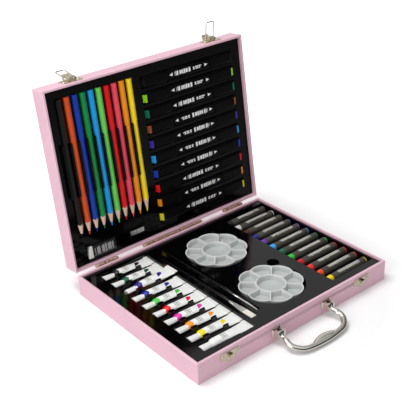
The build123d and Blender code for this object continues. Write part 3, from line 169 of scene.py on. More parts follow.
def shut_to_open(x, y, z):
    """Where a point drawn with the lid shut, in millimetres, is on the open lid, in metres."""
    away = Vector((x * MM, y * MM, z * MM)) - HINGE_POINT
    return HINGE_POINT + Matrix.Rotation(OPEN_TURN, 3, "X") @ away


def screen_colour(red, green, blue):
    """A colour read on screen, 0 to 255, as the linear light that a shader takes."""
    linear = []
    for value in (red, green, blue):
        share = value / 255
        linear.append(share / 12.92 if share <= 0.04045 else ((share + 0.055) / 1.055) ** 2.4)
    return tuple(linear)


def colour(name, description, red, green, blue):
    """A colour that a user may change."""
    return FloatVectorProperty(
        name=name,
        description=description,
        subtype="COLOR",
        size=3,
        min=0,
        max=1,
        default=screen_colour(red, green, blue),
    )


def length(name, description, millimetres):
    """A length that a user may change."""
    return FloatProperty(
        name=name, description=description, subtype="DISTANCE", unit="LENGTH", min=0, default=millimetres * MM
    )


def power(name, description, watts):
    """A light's power that a user may change."""
    return FloatProperty(name=name, description=description, subtype="POWER", min=0, default=watts)


class ArtCaseSettings(PropertyGroup):
    """The case, its trays and its metalwork."""

    paint: colour("Paint", "Colour of the painted case", 227, 184, 200)
    # Colour along the case's edges: partly worn paint, partly a painted highlight
    worn_and_highlit: colour("Rubbed edge", "Colour where the paint is rubbed at the edges", 246, 222, 230)
    tray: colour("Tray", "Colour of the moulded trays", 4, 4, 5)
    hinge: colour("Hinge metal", "Colour of the hinges", 240, 206, 178)
    nickel: colour("Nickel", "Colour of the latches and catches", 222, 212, 188)
    chrome: colour("Chrome", "Colour of the handle", 240, 238, 228)
    edge: length("Edge rounding", "Rounding of the case's wooden edges", 0.6)


class ArtPencilSettings(PropertyGroup):
    """Lacquer colours of the pencils, from left to right."""

    black: colour("Black", "First pencil", 8, 8, 9)
    orange: colour("Orange", "Second pencil", 214, 78, 22)
    blue: colour("Blue", "Third pencil", 8, 54, 168)
    green: colour("Green", "Fourth pencil", 8, 138, 62)
    sky: colour("Sky", "Fifth pencil", 14, 154, 230)
    lime: colour("Lime", "Sixth pencil", 104, 212, 88)
    red: colour("Red", "Seventh pencil", 218, 12, 12)
    coral: colour("Coral", "Eighth pencil", 240, 72, 98)
    amber: colour("Amber", "Ninth pencil", 244, 146, 20)
    yellow: colour("Yellow", "Tenth pencil", 251, 222, 28)
    wood: colour("Bare wood", "Sharpened wood", 238, 204, 182)


class ArtMarkerSettings(PropertyGroup):
    """Barrels and end plugs of the markers, from the lid's front to its hinge."""

    barrel: colour("Barrel", "Barrels and caps", 6, 6, 7)
    mark: colour("Marks", "Plain marks on the barrels", 248, 248, 246)
    black: colour("Black", "First marker's plugs", 20, 20, 22)
    lime: colour("Lime", "Second marker's plugs", 150, 214, 32)
    green: colour("Green", "Third marker's plugs", 14, 116, 84)
    brown: colour("Brown", "Fourth marker's plugs", 152, 82, 52)
    violet: colour("Violet", "Fifth marker's plugs", 78, 50, 168)
    sky: colour("Sky", "Sixth marker's plugs", 44, 164, 236)
    blue: colour("Blue", "Seventh marker's plugs", 34, 66, 190)
    red: colour("Red", "Eighth marker's plugs", 222, 26, 32)
    orange: colour("Orange", "Ninth marker's plugs", 240, 144, 24)
    yellow: colour("Yellow", "Tenth marker's plugs", 232, 220, 36)


class ArtTubeSettings(PropertyGroup):
    """Paint colours shown on the tubes, from the hinge to the handle."""

    body: colour("Tube", "Bodies and caps of the tubes", 244, 245, 242)
    black: colour("Black", "First tube", 24, 24, 28)
    green: colour("Green", "Second tube", 10, 92, 60)
    violet: colour("Violet", "Third tube", 44, 26, 132)
    blue: colour("Blue", "Fourth tube", 26, 34, 150)
    lime: colour("Lime", "Fifth tube", 70, 204, 70)
    red: colour("Red", "Sixth tube", 226, 26, 32)
    magenta: colour("Magenta", "Seventh tube", 222, 52, 172)
    orange: colour("Orange", "Eighth tube", 246, 150, 34)
    yellow: colour("Yellow", "Ninth tube", 246, 222, 20)
    white: colour("White", "Tenth tube", 238, 238, 236)


class ArtBaseSettings(PropertyGroup):
    """Pastels, palettes, brushes, eraser and sharpener."""

    paper: colour("Pastel paper", "Wrappers of the oil pastels", 70, 66, 60)
    palette: colour("Palette", "Clear plastic of the palettes", 208, 212, 210)
    lacquer: colour("Brush handle", "Lacquer of the brush handles", 14, 14, 15)
    bristle: colour("Bristle", "Bristles of both brushes", 236, 232, 222)
    eraser: colour("Eraser", "Rubber of the eraser", 236, 236, 226)
    strands: IntProperty(
        name="Strand rows", description="Rows of strands in the flat brush", min=6, default=11
    )


class ArtStageSettings(PropertyGroup):
    """Light and camera."""

    floor: colour("Floor", "Floor and backdrop", 250, 250, 250)
    lens: FloatProperty(
        name="Lens", description="Focal length in millimetres on a 36 mm frame", min=10, default=74.37
    )
    key: power("Key light", "Power of the large light above", 13.0)
    fill: power("Side light", "Power of the light at the left", 8.0)


# Shader building


def put(tree, kind, *values, **settings):
    """A shader node with its settings, and its first inputs set or linked in order."""
    made = tree.nodes.new(kind)
    for name, value in settings.items():
        setattr(made, name, value)
    for place, value in enumerate(values):
        join(tree, value, made.inputs[place])
    return made


def join(tree, value, socket):
    """Links a socket to another, or sets its own value."""
    if value is None:
        return
    if isinstance(value, bpy.types.NodeSocket):
        tree.links.new(value, socket)
    elif socket.type == "RGBA":
        socket.default_value = (*value[:3], 1)
    else:
        socket.default_value = value


def sum_up(tree, operation, *values):
    """The result of one Math node."""
    return put(tree, "ShaderNodeMath", *values, operation=operation).outputs[0]


def blend_colour(tree, share, first, second, mode="MIX"):
    """Two colours mixed by a share."""
    mixed = tree.nodes.new("ShaderNodeMix")
    mixed.data_type = "RGBA"
    mixed.blend_type = mode
    join(tree, share, mixed.inputs[0])
    for value, place in zip((first, second), MIX_COLOURS):
        join(tree, value, mixed.inputs[place])
    return mixed.outputs[MIX_COLOUR_OUT]


def effect(name, inputs, outputs):
    """An empty shader node group with named inputs (name, default) and outputs (name, kind)."""
    group = bpy.data.node_groups.new(name, "ShaderNodeTree")
    for label, default in inputs:
        kind = "NodeSocketVector" if label == "Vector" or isinstance(default, tuple) else "NodeSocketFloat"
        socket = group.interface.new_socket(name=label, in_out="INPUT", socket_type=kind)
        if default is not None:
            socket.default_value = default
    for label, kind in outputs:
        group.interface.new_socket(name=label, in_out="OUTPUT", socket_type=kind)
    return group, group.nodes.new("NodeGroupInput").outputs, group.nodes.new("NodeGroupOutput").inputs


def make_fine_grain():
    """Fine surface unevenness in two sizes: a height for bump and a shade for colour."""
    group, given, result = effect(
        "fine grain",
        [("Vector", None), ("Scale", 900.0), ("Cloud", 40.0)],
        [("Height", "NodeSocketFloat"), ("Shade", "NodeSocketFloat")],
    )
    fine = group.nodes.new("ShaderNodeTexNoise")
    cloud = group.nodes.new("ShaderNodeTexNoise")
    for texture, scale, detail in ((fine, "Scale", 3), (cloud, "Cloud", 4)):
        join(group, given["Vector"], texture.inputs["Vector"])
        join(group, given[scale], texture.inputs["Scale"])
        texture.inputs["Detail"].default_value = detail
    join(group, fine.outputs["Fac"], result["Height"])
    join(group, cloud.outputs["Fac"], result["Shade"])
    return group


def make_edge_wear_and_highlight():
    """A mask that is 1 along the edges of a box and fades over a width, broken up by noise: worn paint and a
    painted highlight on the case.
    """
    group, given, result = effect(
        "edge wear and highlight",
        [("Vector", None), ("Half", (0.1, 0.1, 0.1)), ("Width", 0.002)],
        [("Mask", "NodeSocketFloat")],
    )
    apart = put(group, "ShaderNodeVectorMath", given["Vector"], operation="ABSOLUTE").outputs[0]
    apart = put(group, "ShaderNodeVectorMath", given["Half"], apart, operation="SUBTRACT").outputs[0]
    part = put(group, "ShaderNodeSeparateXYZ", apart).outputs
    low = sum_up(group, "MINIMUM", part[0], part[1])
    high = sum_up(group, "MAXIMUM", part[0], part[1])
    middle = sum_up(group, "MAXIMUM", low, sum_up(group, "MINIMUM", high, part[2]))
    noise = group.nodes.new("ShaderNodeTexNoise")
    join(group, given["Vector"], noise.inputs["Vector"])
    noise.inputs["Scale"].default_value = 160
    reach = sum_up(group, "MULTIPLY", given["Width"], noise.outputs["Fac"])
    mask = sum_up(group, "SUBTRACT", 1.0, sum_up(group, "DIVIDE", middle, reach))
    clamped = group.nodes.new("ShaderNodeClamp")
    join(group, mask, clamped.inputs[0])
    join(group, clamped.outputs[0], result["Mask"])
    return group


def make_band():
    """A mask that is 1 where a value lies between two ends, with soft ends."""
    group, given, result = effect(
        "band",
        [("Value", 0.0), ("Start", 0.0), ("End", 1.0), ("Soft", 0.0002)],
        [("Mask", "NodeSocketFloat")],
    )
    rise = sum_up(group, "DIVIDE", sum_up(group, "SUBTRACT", given["Value"], given["Start"]), given["Soft"])
    fall = sum_up(group, "DIVIDE", sum_up(group, "SUBTRACT", given["End"], given["Value"]), given["Soft"])
    clamped = group.nodes.new("ShaderNodeClamp")
    join(group, sum_up(group, "ADD", sum_up(group, "MINIMUM", rise, fall), 0.5), clamped.inputs[0])
    join(group, clamped.outputs[0], result["Mask"])
    return group


def make_pencil_point():
    """Masks of a sharpened pencil's bare wood and of its coloured core, along local Y."""
    group, given, result = effect(
        "pencil point",
        [
            ("Vector", None),
            ("Length", 0.176),
            ("Tip", 0.019),
            ("Corner", 0.00398),
            ("Point", 0.00035),
            ("Core", 0.0014),
        ],
        [("Wood", "NodeSocketFloat"), ("Lead", "NodeSocketFloat")],
    )
    part = put(group, "ShaderNodeSeparateXYZ", given["Vector"]).outputs
    square = sum_up(group, "ADD", sum_up(group, "POWER", part[0], 2.0), sum_up(group, "POWER", part[2], 2.0))
    radius = sum_up(group, "SQRT", square)
    start = sum_up(group, "SUBTRACT", given["Length"], given["Tip"])
    along = sum_up(group, "DIVIDE", sum_up(group, "SUBTRACT", part[1], start), given["Tip"])
    taper = sum_up(group, "MULTIPLY", along, sum_up(group, "SUBTRACT", given["Corner"], given["Point"]))
    cone = sum_up(group, "SUBTRACT", given["Corner"], taper)
    on_cone = sum_up(group, "GREATER_THAN", radius, sum_up(group, "SUBTRACT", cone, 0.00011))
    past = sum_up(group, "GREATER_THAN", along, 0.02)
    cut = sum_up(group, "MULTIPLY", on_cone, past)
    join(group, cut, result["Wood"])
    inside = sum_up(group, "LESS_THAN", radius, given["Core"])
    join(group, sum_up(group, "MULTIPLY", cut, inside), result["Lead"])
    return group


def make_broken_bar():
    """A plain bar broken up along its length, in place of printing."""
    group, given, result = effect(
        "broken bar",
        [
            ("Along", 0.0),
            ("Across", 0.0),
            ("Start", 0.0),
            ("End", 1.0),
            ("Half Height", 0.001),
            ("Breaks", 900.0),
        ],
        [("Mask", "NodeSocketFloat")],
    )
    inside = sum_up(
        group,
        "MULTIPLY",
        sum_up(group, "GREATER_THAN", given["Along"], given["Start"]),
        sum_up(group, "LESS_THAN", given["Along"], given["End"]),
    )
    noise = group.nodes.new("ShaderNodeTexNoise")
    noise.noise_dimensions = "1D"
    join(group, sum_up(group, "MULTIPLY", given["Along"], given["Breaks"]), noise.inputs["W"])
    noise.inputs["Scale"].default_value = 1.0
    height = sum_up(group, "MULTIPLY", noise.outputs["Fac"], BREAK_HEIGHT)
    reach = sum_up(group, "MULTIPLY", given["Half Height"], height)
    high = sum_up(group, "LESS_THAN", sum_up(group, "ABSOLUTE", given["Across"]), reach)
    gap = sum_up(group, "GREATER_THAN", noise.outputs["Fac"], BREAK_THRESHOLD)
    join(group, sum_up(group, "MULTIPLY", sum_up(group, "MULTIPLY", inside, high), gap), result["Mask"])
    return group


EFFECTS = {
    "broken bar": make_broken_bar,
    "fine grain": make_fine_grain,
    "edge wear and highlight": make_edge_wear_and_highlight,
    "band": make_band,
    "pencil point": make_pencil_point,
}


def use_effect(tree, name, **values):
    """Places an effect group in a material, building the group the first time."""
    made = tree.nodes.new("ShaderNodeGroup")
    made.node_tree = bpy.data.node_groups.get(name) or EFFECTS[name]()
    for label, value in values.items():
        join(tree, value, made.inputs[label.replace("_", " ")])
    return made.outputs


class Finish:
    """A material under construction: its tree, its shader and the piece's own coordinates."""

    def __init__(self, name, origin=(0, 0, 0), turn=(0, 0, 0), **constants):
        self.material = bpy.data.materials.new(name)
        self.material.use_nodes = True
        self.tree = self.material.node_tree
        self.shader = next(node for node in self.tree.nodes if node.type == "BSDF_PRINCIPLED")
        for label, value in constants.items():
            join(self.tree, value, self.shader.inputs[label.replace("_", " ")])
        coordinates = put(self.tree, "ShaderNodeTexCoord")
        mapping = put(self.tree, "ShaderNodeMapping", coordinates.outputs["Object"], vector_type="TEXTURE")
        mapping.inputs["Location"].default_value = origin
        mapping.inputs["Rotation"].default_value = turn
        self.vector = mapping.outputs[0]
        self.xyz = put(self.tree, "ShaderNodeSeparateXYZ", self.vector).outputs

    def set(self, **links):
        """Links shader inputs that change over the surface."""
        for label, value in links.items():
            join(self.tree, value, self.shader.inputs[label.replace("_", " ")])
        return self

    def bump(self, height, distance, strength=1.0):
        """Adds a bump from a height."""
        bumped = self.tree.nodes.new("ShaderNodeBump")
        bumped.inputs["Strength"].default_value = strength
        bumped.inputs["Distance"].default_value = distance
        join(self.tree, height, bumped.inputs["Height"])
        join(self.tree, bumped.outputs[0], self.shader.inputs["Normal"])
        return self

    def grain(self, scale=900.0, cloud=40.0):
        """The fine grain's height and shade on this piece."""
        made = use_effect(self.tree, "fine grain", Vector=self.vector, Scale=scale, Cloud=cloud)
        return made["Height"], made["Shade"]

    def band(self, value, start, end, soft=0.0002):
        """A band mask along a value."""
        return use_effect(self.tree, "band", Value=value, Start=start, End=end, Soft=soft)["Mask"]

    def bar(self, along, across, start, end, half_height, breaks=520.0):
        """A broken bar's mask between two places along the piece."""
        made = use_effect(
            self.tree,
            "broken bar",
            Along=along,
            Across=across,
            Start=start,
            End=end,
            Half_Height=half_height,
            Breaks=breaks,
        )
        return made["Mask"]

    def rough(self, share, low, high, start=SHADE_LOW, end=SHADE_HIGH):
        """Sets a roughness that goes from low to high as a share goes from its start to its end."""
        spread = put(self.tree, "ShaderNodeMapRange", share, start, end, low, high).outputs[0]
        return self.set(Roughness=spread)

    def tinted(self, base, shade, amount):
        """A colour made a little lighter and darker by a shade."""
        spread = put(self.tree, "ShaderNodeMapRange", shade, SHADE_LOW, SHADE_HIGH, 1 - amount, 1 + amount)
        return blend_colour(self.tree, 1.0, base, spread.outputs[0], "MULTIPLY")


# Node and mesh handling


def node(name):
    """A CAD node's object."""
    return frame["nodes"][name]


def dress(name, material, rounding=0.0):
    """Gives a CAD node its material, welded corners and rounded edges."""
    piece = node(name)
    piece.data.materials.clear()
    piece.data.materials.append(material)
    weld = piece.modifiers.new("Weld", "WELD")
    weld.merge_threshold = WELD_DISTANCE
    if rounding:
        bevel = piece.modifiers.new("Rounded edges", "BEVEL")
        bevel.width = rounding
        bevel.segments = 2
        bevel.limit_method = "ANGLE"
        bevel.angle_limit = ROUNDED_ANGLE
        bevel.harden_normals = False
    return piece


def clear_selection():
    """Nothing selected and nothing in edit mode."""
    if bpy.context.object and bpy.context.object.mode != "OBJECT":
        bpy.ops.object.mode_set(mode="OBJECT")
    bpy.ops.object.select_all(action="DESELECT")


def settle(piece, name, body, material):
    """Names a new piece, bakes its place into its mesh and lets it ride."""
    clear_selection()
    piece.select_set(True)
    bpy.context.view_layer.objects.active = piece
    bpy.ops.object.transform_apply(location=True, rotation=True, scale=True)
    piece.name = name
    piece.data.name = name
    piece.data.materials.clear()
    piece.data.materials.append(material)
    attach(piece, body)
    return piece


# Finishes


def case_paint(name, origin, turn, half):
    """Satin paint on wood, a little lighter along its edges, partly as worn paint and partly as a painted
    highlight.
    """
    settings = bpy.context.scene.art_case
    made = Finish(name, origin, turn, IOR=1.45)
    height, shade = made.grain(700.0, 22.0)
    # The edge mask lightens the paint along the box edges: partly worn paint, partly a painted highlight
    worn_and_highlit = use_effect(made.tree, "edge wear and highlight", Vector=made.vector, Half=half, Width=0.0022)["Mask"]
    base = made.tinted(settings.paint, shade, 0.035)
    wear_and_highlight_share = sum_up(made.tree, "MULTIPLY", worn_and_highlit, 0.6)
    made.set(Base_Color=blend_colour(made.tree, wear_and_highlight_share, base, settings.worn_and_highlit))
    made.rough(shade, 0.42, 0.55)
    return made.bump(height, 0.00006, 0.5).material


def moulded_plastic(name, turn, gloss):
    """Glossy black formed sheet with a faint waviness and dust."""
    settings = bpy.context.scene.art_case
    made = Finish(name, (0, 0, 0), turn, IOR=1.42, Specular_IOR_Level=gloss)
    height, shade = made.grain(500.0, 24.0)
    made.set(Base_Color=made.tinted(settings.tray, shade, 0.15))
    made.rough(shade, 0.07, 0.13)
    waves = sum_up(made.tree, "ADD", shade, sum_up(made.tree, "MULTIPLY", height, 0.012))
    return made.bump(waves, 0.0006, 0.5).material


def plated_metal(name, tint, low, high):
    """Plated or bare metal with fine scuffs."""
    made = Finish(name, Metallic=1.0)
    height, shade = made.grain(1400.0, 120.0)
    made.set(Base_Color=made.tinted(tint, shade, 0.06))
    made.rough(shade, low, high)
    return made.bump(height, 0.00001, 0.25).material


def pencil_finish(name, lacquer, x):
    """Gloss lacquer that ends in scallops at the sharpened wood, with a coloured point."""
    settings = bpy.context.scene.art_pencils
    place = shut_to_open(x, PENCIL_END_Y, PENCIL_Z)
    made = Finish(name, place, (OPEN_TURN, 0, 0), IOR=1.5, Specular_IOR_Level=0.3)
    masks = use_effect(made.tree, "pencil point", Vector=made.vector)
    grain = made.tree.nodes.new("ShaderNodeTexWave")
    grain.bands_direction = "X"
    grain.inputs["Scale"].default_value = 420
    grain.inputs["Distortion"].default_value = 3
    join(made.tree, made.vector, grain.inputs["Vector"])
    wood = made.tinted(settings.wood, grain.outputs["Fac"], 0.12)
    height, shade = made.grain(1200.0, 60.0)
    coat = made.tinted(lacquer, shade, 0.05)
    base = blend_colour(made.tree, masks["Wood"], coat, wood)
    made.set(Base_Color=blend_colour(made.tree, masks["Lead"], base, lacquer))
    made.rough(masks["Wood"], 0.28, 0.75, 0.0, 1.0)
    return made.bump(height, 0.00001, 0.3).material


def marker_finish(name, plug, y, turned):
    """Satin barrel with plain white arrow marks and coloured end plugs."""
    settings = bpy.context.scene.art_markers
    middle = shut_to_open(MARKER_X, y, MARKER_Z)
    made = Finish(name, middle, (OPEN_TURN, 0, 0), IOR=1.45, Specular_IOR_Level=0.12)
    tree = made.tree
    along, across, up = made.xyz
    height, shade = made.grain(1500.0, 50.0)
    base = made.tinted(settings.barrel, shade, 0.12)
    along = sum_up(tree, "MULTIPLY", along, -1.0 if turned else 1.0)
    distance = sum_up(tree, "ABSOLUTE", along)
    on_top = sum_up(tree, "LESS_THAN", up, -0.0048)
    marks = None
    for side in (-1, 1):
        reach = sum_up(tree, "SUBTRACT", sum_up(tree, "MULTIPLY", along, float(side)), 0.0262)
        wide = sum_up(tree, "MULTIPLY", sum_up(tree, "SUBTRACT", 0.0052, reach), 0.42)
        head = sum_up(tree, "LESS_THAN", sum_up(tree, "ABSOLUTE", across), wide)
        arrow = sum_up(tree, "MULTIPLY", head, sum_up(tree, "GREATER_THAN", reach, 0.0))
        marks = arrow if marks is None else sum_up(tree, "MAXIMUM", marks, arrow)
    for start, end, place, half in MARKER_BARS:
        beside = sum_up(tree, "SUBTRACT", across, place)
        marks = sum_up(tree, "MAXIMUM", marks, made.bar(along, beside, start, end, half))
    marks = sum_up(tree, "MULTIPLY", marks, on_top)
    base = blend_colour(tree, sum_up(tree, "MULTIPLY", marks, 0.95), base, settings.mark)
    inlay = sum_up(tree, "LESS_THAN", sum_up(tree, "ABSOLUTE", across), 0.0049)
    ends = sum_up(tree, "MULTIPLY", sum_up(tree, "GREATER_THAN", distance, 0.0698), inlay)
    made.set(Base_Color=blend_colour(tree, ends, base, plug))
    made.rough(shade, 0.3, 0.42)
    return made.bump(height, 0.00001, 0.3).material


def tube_finish(name, paint, origin, turn):
    """White tube and cap with a coloured shoulder band, a paint drop and thin grey lines."""
    settings = bpy.context.scene.art_tubes
    made = Finish(name, origin, turn, IOR=1.45)
    tree = made.tree
    along, across, up = made.xyz
    height, shade = made.grain(1100.0, 90.0)
    base = made.tinted(settings.body, shade, 0.03)
    wave = sum_up(tree, "MULTIPLY", sum_up(tree, "SINE", sum_up(tree, "MULTIPLY", across, 900.0)), 0.0007)
    place = sum_up(tree, "ADD", along, wave)
    shoulder = made.band(place, 0.0143, 0.0215)
    drop_x = sum_up(tree, "SUBTRACT", along, 0.0500)
    drop_y = sum_up(tree, "SUBTRACT", across, 0.0002)
    lean = sum_up(tree, "ADD", drop_x, drop_y)
    slant = sum_up(tree, "SUBTRACT", drop_x, drop_y)
    wide = put(tree, "ShaderNodeMapRange", lean, -0.0078, 0.0078, 0.0014, 0.0058).outputs[0]
    oval = sum_up(
        tree,
        "ADD",
        sum_up(tree, "POWER", sum_up(tree, "DIVIDE", lean, 0.0078), 2.0),
        sum_up(tree, "POWER", sum_up(tree, "DIVIDE", slant, wide), 2.0),
    )
    top = sum_up(tree, "GREATER_THAN", up, 0.0)
    drop = sum_up(tree, "MULTIPLY", sum_up(tree, "LESS_THAN", oval, 1.0), top)
    painted = sum_up(tree, "MAXIMUM", shoulder, drop)
    lines = None
    for start, half in TUBE_LINES:
        line = made.bar(across, sum_up(tree, "SUBTRACT", along, start), -0.0045, 0.0045, half, 1500.0)
        lines = line if lines is None else sum_up(tree, "MAXIMUM", lines, line)
    lines = sum_up(tree, "MULTIPLY", lines, top)
    base = blend_colour(tree, sum_up(tree, "MULTIPLY", lines, 0.75), base, screen_colour(92, 94, 98))
    made.set(Base_Color=blend_colour(tree, painted, base, paint))
    made.rough(shade, 0.28, 0.4)
    fold = tree.nodes.new("ShaderNodeTexWave")
    fold.bands_direction = "X"
    fold.inputs["Scale"].default_value = 520
    fold.inputs["Distortion"].default_value = 0.6
    join(tree, made.vector, fold.inputs["Vector"])
    creased = sum_up(tree, "MULTIPLY", fold.outputs["Fac"], made.band(along, 0.066, 0.0722, 0.002))
    ribs = tree.nodes.new("ShaderNodeTexWave")
    ribs.bands_direction = "Y"
    ribs.inputs["Scale"].default_value = 420
    join(tree, made.vector, ribs.inputs["Vector"])
    fluted = sum_up(tree, "MULTIPLY", ribs.outputs["Fac"], made.band(along, 0.001, 0.0138, 0.001))
    relief = sum_up(tree, "ADD", sum_up(tree, "ADD", creased, fluted), sum_up(tree, "MULTIPLY", height, 0.15))
    return made.bump(relief, 0.0002, 0.7).material


PASTEL_COLOURS = [
    (34, 34, 36),
    (206, 206, 200),
    (74, 44, 34),
    (38, 44, 132),
    (112, 60, 168),
    (60, 164, 236),
    (14, 112, 84),
    (40, 196, 60),
    (196, 24, 38),
    (232, 44, 42),
    (240, 74, 26),
    (248, 214, 22),
]


def pastel_finish(name):
    """Dark paper round waxy sticks, each of its own colour, with plain pale lines on the paper."""
    settings = bpy.context.scene.art_base
    made = Finish(name, (0.0, 0.0, PASTEL_Z), IOR=1.4)
    tree = made.tree
    along, across, up = made.xyz
    row = sum_up(tree, "SUBTRACT", PASTEL_ROW_START, across)
    row = sum_up(tree, "DIVIDE", row, PASTEL_COUNT * PASTEL_PITCH)
    ramp = tree.nodes.new("ShaderNodeValToRGB")
    ramp.color_ramp.interpolation = "CONSTANT"
    stops = ramp.color_ramp.elements
    for index in range(1, PASTEL_COUNT - 1):
        stops.new(index / PASTEL_COUNT)
    stops[-1].position = (PASTEL_COUNT - 1) / PASTEL_COUNT
    for stop, (red, green, blue) in zip(stops, PASTEL_COLOURS):
        stop.color = (*screen_colour(red, green, blue), 1)
    join(tree, row, ramp.inputs[0])
    height, shade = made.grain(900.0, 70.0)
    wax = made.tinted(ramp.outputs[0], shade, 0.08)
    paper = made.tinted(settings.paper, shade, 0.16)
    part = sum_up(tree, "FRACT", sum_up(tree, "MULTIPLY", row, float(PASTEL_COUNT)))
    beside = sum_up(tree, "SUBTRACT", part, 0.5)
    lines = made.bar(sum_up(tree, "ADD", along, row), beside, 0.0, 9.0, 0.14, 420.0)
    lines = sum_up(tree, "MULTIPLY", lines, made.band(along, 0.093, 0.131))
    lines = sum_up(tree, "MULTIPLY", lines, sum_up(tree, "GREATER_THAN", up, 0.0))
    paper = blend_colour(tree, sum_up(tree, "MULTIPLY", lines, 0.75), paper, screen_colour(222, 220, 214))
    wrapped = made.band(along, 0.0815, 0.1405, 0.0001)
    made.set(Base_Color=blend_colour(tree, wrapped, wax, paper))
    made.rough(wrapped, 0.4, 0.62, 0.0, 1.0)
    return made.bump(height, 0.00005, 0.5).material


def palette_finish(name, height_level):
    """Milky clear plastic, with a painted highlight that makes its rims and ridges whiter than the floors of
    its wells.
    """
    settings = bpy.context.scene.art_base
    made = Finish(name, (0, 0, height_level), IOR=1.45, Transmission_Weight=0.25, Roughness=0.22)
    tree = made.tree
    height, shade = made.grain(300.0, 55.0)
    # Painted highlight: the colour whitens with height, on the rims and ridges of the wells
    rise = put(tree, "ShaderNodeMapRange", made.xyz[2], 0.002, 0.008, 0.0, 1.0).outputs[0]
    base = made.tinted(settings.palette, shade, 0.06)
    edge = sum_up(tree, "MULTIPLY", sum_up(tree, "POWER", rise, 3.0), 0.8)
    made.set(Base_Color=blend_colour(tree, edge, base, (0.93, 0.94, 0.94)))
    return made.bump(height, 0.00003, 0.3).material


def brush_finish(name, ferrule_end):
    """Black lacquer on the handle and bright metal on the ferrule."""
    settings = bpy.context.scene.art_base
    made = Finish(name, IOR=1.5)
    tree = made.tree
    height, shade = made.grain(900.0, 60.0)
    metal = sum_up(tree, "LESS_THAN", made.xyz[1], ferrule_end)
    lacquer = made.tinted(settings.lacquer, shade, 0.1)
    made.set(Base_Color=blend_colour(tree, metal, lacquer, screen_colour(240, 240, 236)))
    made.set(Metallic=metal)
    made.rough(shade, 0.16, 0.24)
    crimp = sum_up(tree, "SINE", sum_up(tree, "MULTIPLY", made.xyz[1], 2600.0))
    near = made.band(made.xyz[1], ferrule_end - 0.009, ferrule_end - 0.003, 0.001)
    relief = sum_up(tree, "ADD", sum_up(tree, "MULTIPLY", crimp, near), sum_up(tree, "MULTIPLY", height, 0.1))
    return made.bump(relief, 0.00015, 0.6).material


def bristle_finish(name):
    """Pale straight hair with fine streaks along its length."""
    settings = bpy.context.scene.art_base
    made = Finish(name, IOR=1.45, Sheen_Weight=0.2)
    tree = made.tree
    streak = tree.nodes.new("ShaderNodeTexNoise")
    stretch = (3000.0, 60.0, 3000.0)
    scaled = put(tree, "ShaderNodeVectorMath", made.vector, stretch, operation="MULTIPLY")
    join(tree, scaled.outputs[0], streak.inputs["Vector"])
    streak.inputs["Scale"].default_value = 1.0
    made.set(Base_Color=made.tinted(settings.bristle, streak.outputs["Fac"], 0.14))
    made.rough(streak.outputs["Fac"], 0.4, 0.6)
    return made.material


def sharpener_finish(name):
    """Dark cast body under a bright blade and screw."""
    made = Finish(name, shut_to_open(*SHARPENER_PLACE), (OPEN_TURN, 0, 0), Metallic=1.0)
    height, shade = made.grain(1200.0, 120.0)
    bright = sum_up(made.tree, "LESS_THAN", made.xyz[2], -0.0001)
    body = made.tinted(screen_colour(40, 40, 38), shade, 0.1)
    made.set(Base_Color=blend_colour(made.tree, bright, body, screen_colour(226, 226, 222)))
    made.rough(bright, 0.5, 0.2, 0.0, 1.0)
    return made.bump(height, 0.00002, 0.3).material


def eraser_finish(name):
    """White rubber in a black card sleeve."""
    settings = bpy.context.scene.art_base
    made = Finish(name, shut_to_open(*ERASER_PLACE), (OPEN_TURN, 0, 0), IOR=1.45)
    tree = made.tree
    height, shade = made.grain(900.0, 90.0)
    sleeve = sum_up(tree, "GREATER_THAN", made.xyz[0], 0.006)
    rubber = made.tinted(settings.eraser, shade, 0.05)
    card = made.tinted(screen_colour(20, 20, 22), shade, 0.1)
    line = made.bar(made.xyz[0], made.xyz[1], 0.009, 0.038, 0.0046, 300.0)
    line = sum_up(tree, "MAXIMUM", line, made.band(made.xyz[1], 0.0052, 0.0056, 0.0001))
    card = blend_colour(tree, sum_up(tree, "MULTIPLY", line, 0.7), card, screen_colour(200, 200, 198))
    made.set(Base_Color=blend_colour(tree, sleeve, rubber, card))
    made.rough(sleeve, 0.7, 0.38, 0.0, 1.0)
    return made.bump(height, 0.00004, 0.4).material


# Operators


class ARTSET_OT_case(Operator):
    """Paint the wooden case and finish its two trays"""

    bl_idname = "artset.case"
    bl_label = "Case and trays"

    def execute(self, context):
        settings = context.scene.art_case
        base_middle = (0, 0, BASE_HALF_HEIGHT)
        lid_middle = shut_to_open(0, 0, LID_MIDDLE_Z)
        base_half = (CASE_HALF_LENGTH, CASE_HALF_DEPTH, BASE_HALF_HEIGHT)
        lid_half = (CASE_HALF_LENGTH, CASE_HALF_DEPTH, LID_HALF_HEIGHT)
        turn = (OPEN_TURN, 0, 0)
        base_paint = case_paint("case_paint_base", base_middle, (0, 0, 0), base_half)
        lid_paint = case_paint("case_paint_lid", lid_middle, turn, lid_half)
        for name, material in (
            ("base_frame", base_paint),
            ("base_bottom_panel", base_paint),
            ("lid_frame", lid_paint),
            ("lid_top_panel", lid_paint),
        ):
            dress(name, material, settings.edge)
        dress("base_tray", moulded_plastic("base_tray_plastic", (0, 0, 0), 0.5), ROUNDING["tray"])
        dress("lid_tray", moulded_plastic("lid_tray_plastic", turn, 0.2), ROUNDING["tray"])
        return {"FINISHED"}


class ARTSET_OT_metalwork(Operator):
    """Finish the hinges, latches, catches and handle"""

    bl_idname = "artset.metalwork"
    bl_label = "Metalwork"

    def execute(self, context):
        settings = context.scene.art_case
        hinge = plated_metal("hinge_metal", settings.hinge, 0.25, 0.4)
        for name in HINGE_NODES:
            dress(name, hinge, ROUNDING["hinge"])
        nickel = plated_metal("nickel_plate", settings.nickel, 0.16, 0.3)
        for name in NICKEL_NODES:
            dress(name, nickel, ROUNDING["nickel"])
        chrome = plated_metal("handle_chrome", settings.chrome, 0.05, 0.12)
        for name in CHROME_NODES:
            dress(name, chrome)
        dress("handle_posts", chrome, ROUNDING["post"])
        return {"FINISHED"}


